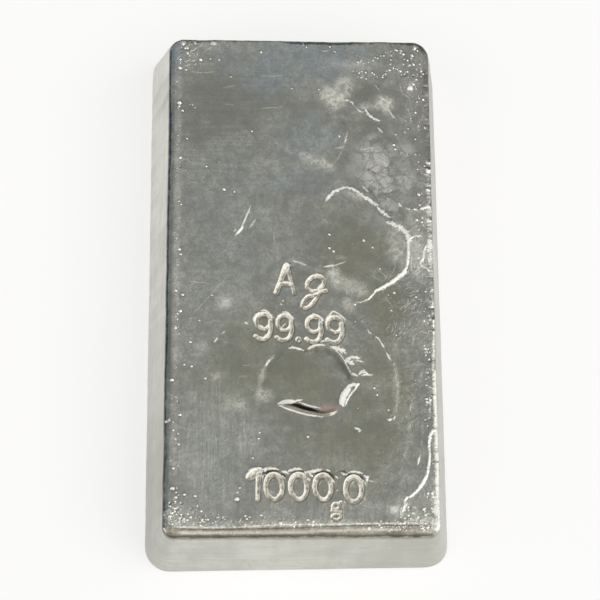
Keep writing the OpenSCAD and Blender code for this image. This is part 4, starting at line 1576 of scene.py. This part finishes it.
def makePouredFace(look):
    material, tree, shader = newMaterial("pouredFaceSilver")
    clouds = useGroup(tree, cloudyTint, look["clouds"])
    veins = useGroup(tree, crystalVeins, look["veins"])
    grain = useGroup(tree, fineGrain, look["grain"])
    masks = {"crystals": veins["Tone"], "veins": veins["Mask"], "relief": grain["Height"]}
    put(tree, layColours(tree, clouds["Colour"], look["layers"], masks), shader.inputs["Base Color"])
    put(tree, look["metallic"], shader.inputs["Metallic"])
    put(tree, look["roughness"], shader.inputs["Roughness"])
    addBump(tree, shader, look["heights"], masks)
    return material


bar.data.materials.append(makeStruckFace(struckFace))
bar.data.materials.append(makeMouldWall(mouldWall))
bar.data.materials.append(makePouredFace(pouredFace))
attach(bar, "root")
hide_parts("bar")
print("silver made")


# floor and studio light

studio = {
    "floorHalf": 3,                       # metres
    "floorColour": (0.30, 0.30, 0.298),
    "floorRoughness": 0.9,
    "floorGlow": 0.70,
    "level": 1.35,
    "room": (1.36, 1.36, 1.335),
}

ways = {"left": (-1, 0, 0), "right": (1, 0, 0), "front": (0, -1, 0), "back": (0, 1, 0), "down": (0, 0, -1)}
# boards and lights round the bar, later ones over earlier ones
# each has a colour, and for some of the ways, from which to which share of that way it comes in
roomPanels = {
    "lower walls of the room": ((0.74, 0.74, 0.73), {"down": (-0.52, -0.36)}),
    "grey ceiling": ((0.33, 0.335, 0.325), {
        "right": (-0.82, -0.76), "left": (-0.36, -0.24), "back": (-0.10, 0.02), "front": (-0.60, -0.52)}),
    "left side of the ceiling": ((0.21, 0.23, 0.24), {
        "left": (0.12, 0.34), "right": (-0.82, -0.76), "back": (-0.10, 0.02), "front": (-0.60, -0.52)}),
    "front board": ((0.37, 0.34, 0.285), {
        "front": (-0.08, 0.10), "back": (-0.62, -0.57), "right": (-0.50, -0.36), "left": (-0.36, -0.26)}),
    "front strip": ((0.95, 0.93, 0.87), {
        "front": (0.56, 0.58), "back": (-0.65, -0.62), "right": (-0.50, -0.36), "left": (-0.50, -0.36)}),
    "front wall": ((0.44, 0.40, 0.33), {
        "front": (0.63, 0.65), "right": (-0.50, -0.36), "left": (-0.50, -0.36)}),
    "front horizon": ((0.24, 0.22, 0.17), {
        "front": (0.89, 0.95), "right": (-0.50, -0.36), "left": (-0.50, -0.36)}),
    "left board": ((0.03, 0.04, 0.065), {
        "left": (0.60, 0.70), "back": (0.06, 0.14), "front": (-0.56, -0.48)}),
    "right softbox": ((2.0, 1.97, 1.90), {
        "right": (0.26, 0.34), "left": (-0.86, -0.78), "front": (-0.31, -0.23), "back": (-0.46, -0.40)}),
    "back of the softbox": ((0.20, 0.20, 0.19), {
        "right": (0.18, 0.26), "back": (0.24, 0.32), "front": (-0.66, -0.58)}),
    "back board": ((0.10, 0.10, 0.095), {
        "back": (0.52, 0.62), "right": (-0.80, -0.65), "left": (-0.95, -0.85)}),
}


def makeFloor():
    half = studio["floorHalf"]
    mesh = bpy.data.meshes.new("floor")
    corners = [(-half, -half, 0), (half, -half, 0), (half, half, 0), (-half, half, 0)]
    mesh.from_pydata(corners, [], [(0, 1, 2, 3)])
    floor = bpy.data.objects.new("floor", mesh)
    scene.collection.objects.link(floor)
    material, tree, shader = newMaterial("paleFloor")
    put(tree, studio["floorColour"], shader.inputs["Base Color"])
    put(tree, studio["floorRoughness"], shader.inputs["Roughness"])
    put(tree, (1, 1, 1), shader.inputs["Emission Color"])
    paths = addNode(tree, "ShaderNodeLightPath").outputs
    seen = combine(tree, "MAXIMUM", paths["Is Camera Ray"], paths["Is Glossy Ray"])
    seen = combine(tree, "MAXIMUM", seen, paths["Is Transmission Ray"])
    put(tree, times(tree, seen, studio["floorGlow"]), shader.inputs["Emission Strength"])
    floor.data.materials.append(material)


def makeWorld():
    world = bpy.data.worlds.new("studio")
    scene.world = world
    world.use_nodes = True
    tree = world.node_tree
    direction = addNode(tree, "ShaderNodeTexCoord").outputs["Generated"]
    colour = studio["room"]
    for tint, edges in roomPanels.values():
        share = 1.0
        for way, (low, high) in edges.items():
            facing = addVector(tree, "DOT_PRODUCT", {0: direction, 1: ways[way]})["Value"]
            share = times(tree, share, remap(tree, facing, low, high))
        colour = blend(tree, share, colour, tint)
    put(tree, colour, tree.nodes["Background"].inputs["Color"])
    put(tree, studio["level"], tree.nodes["Background"].inputs["Strength"])


makeFloor()
makeWorld()
print("studio made")
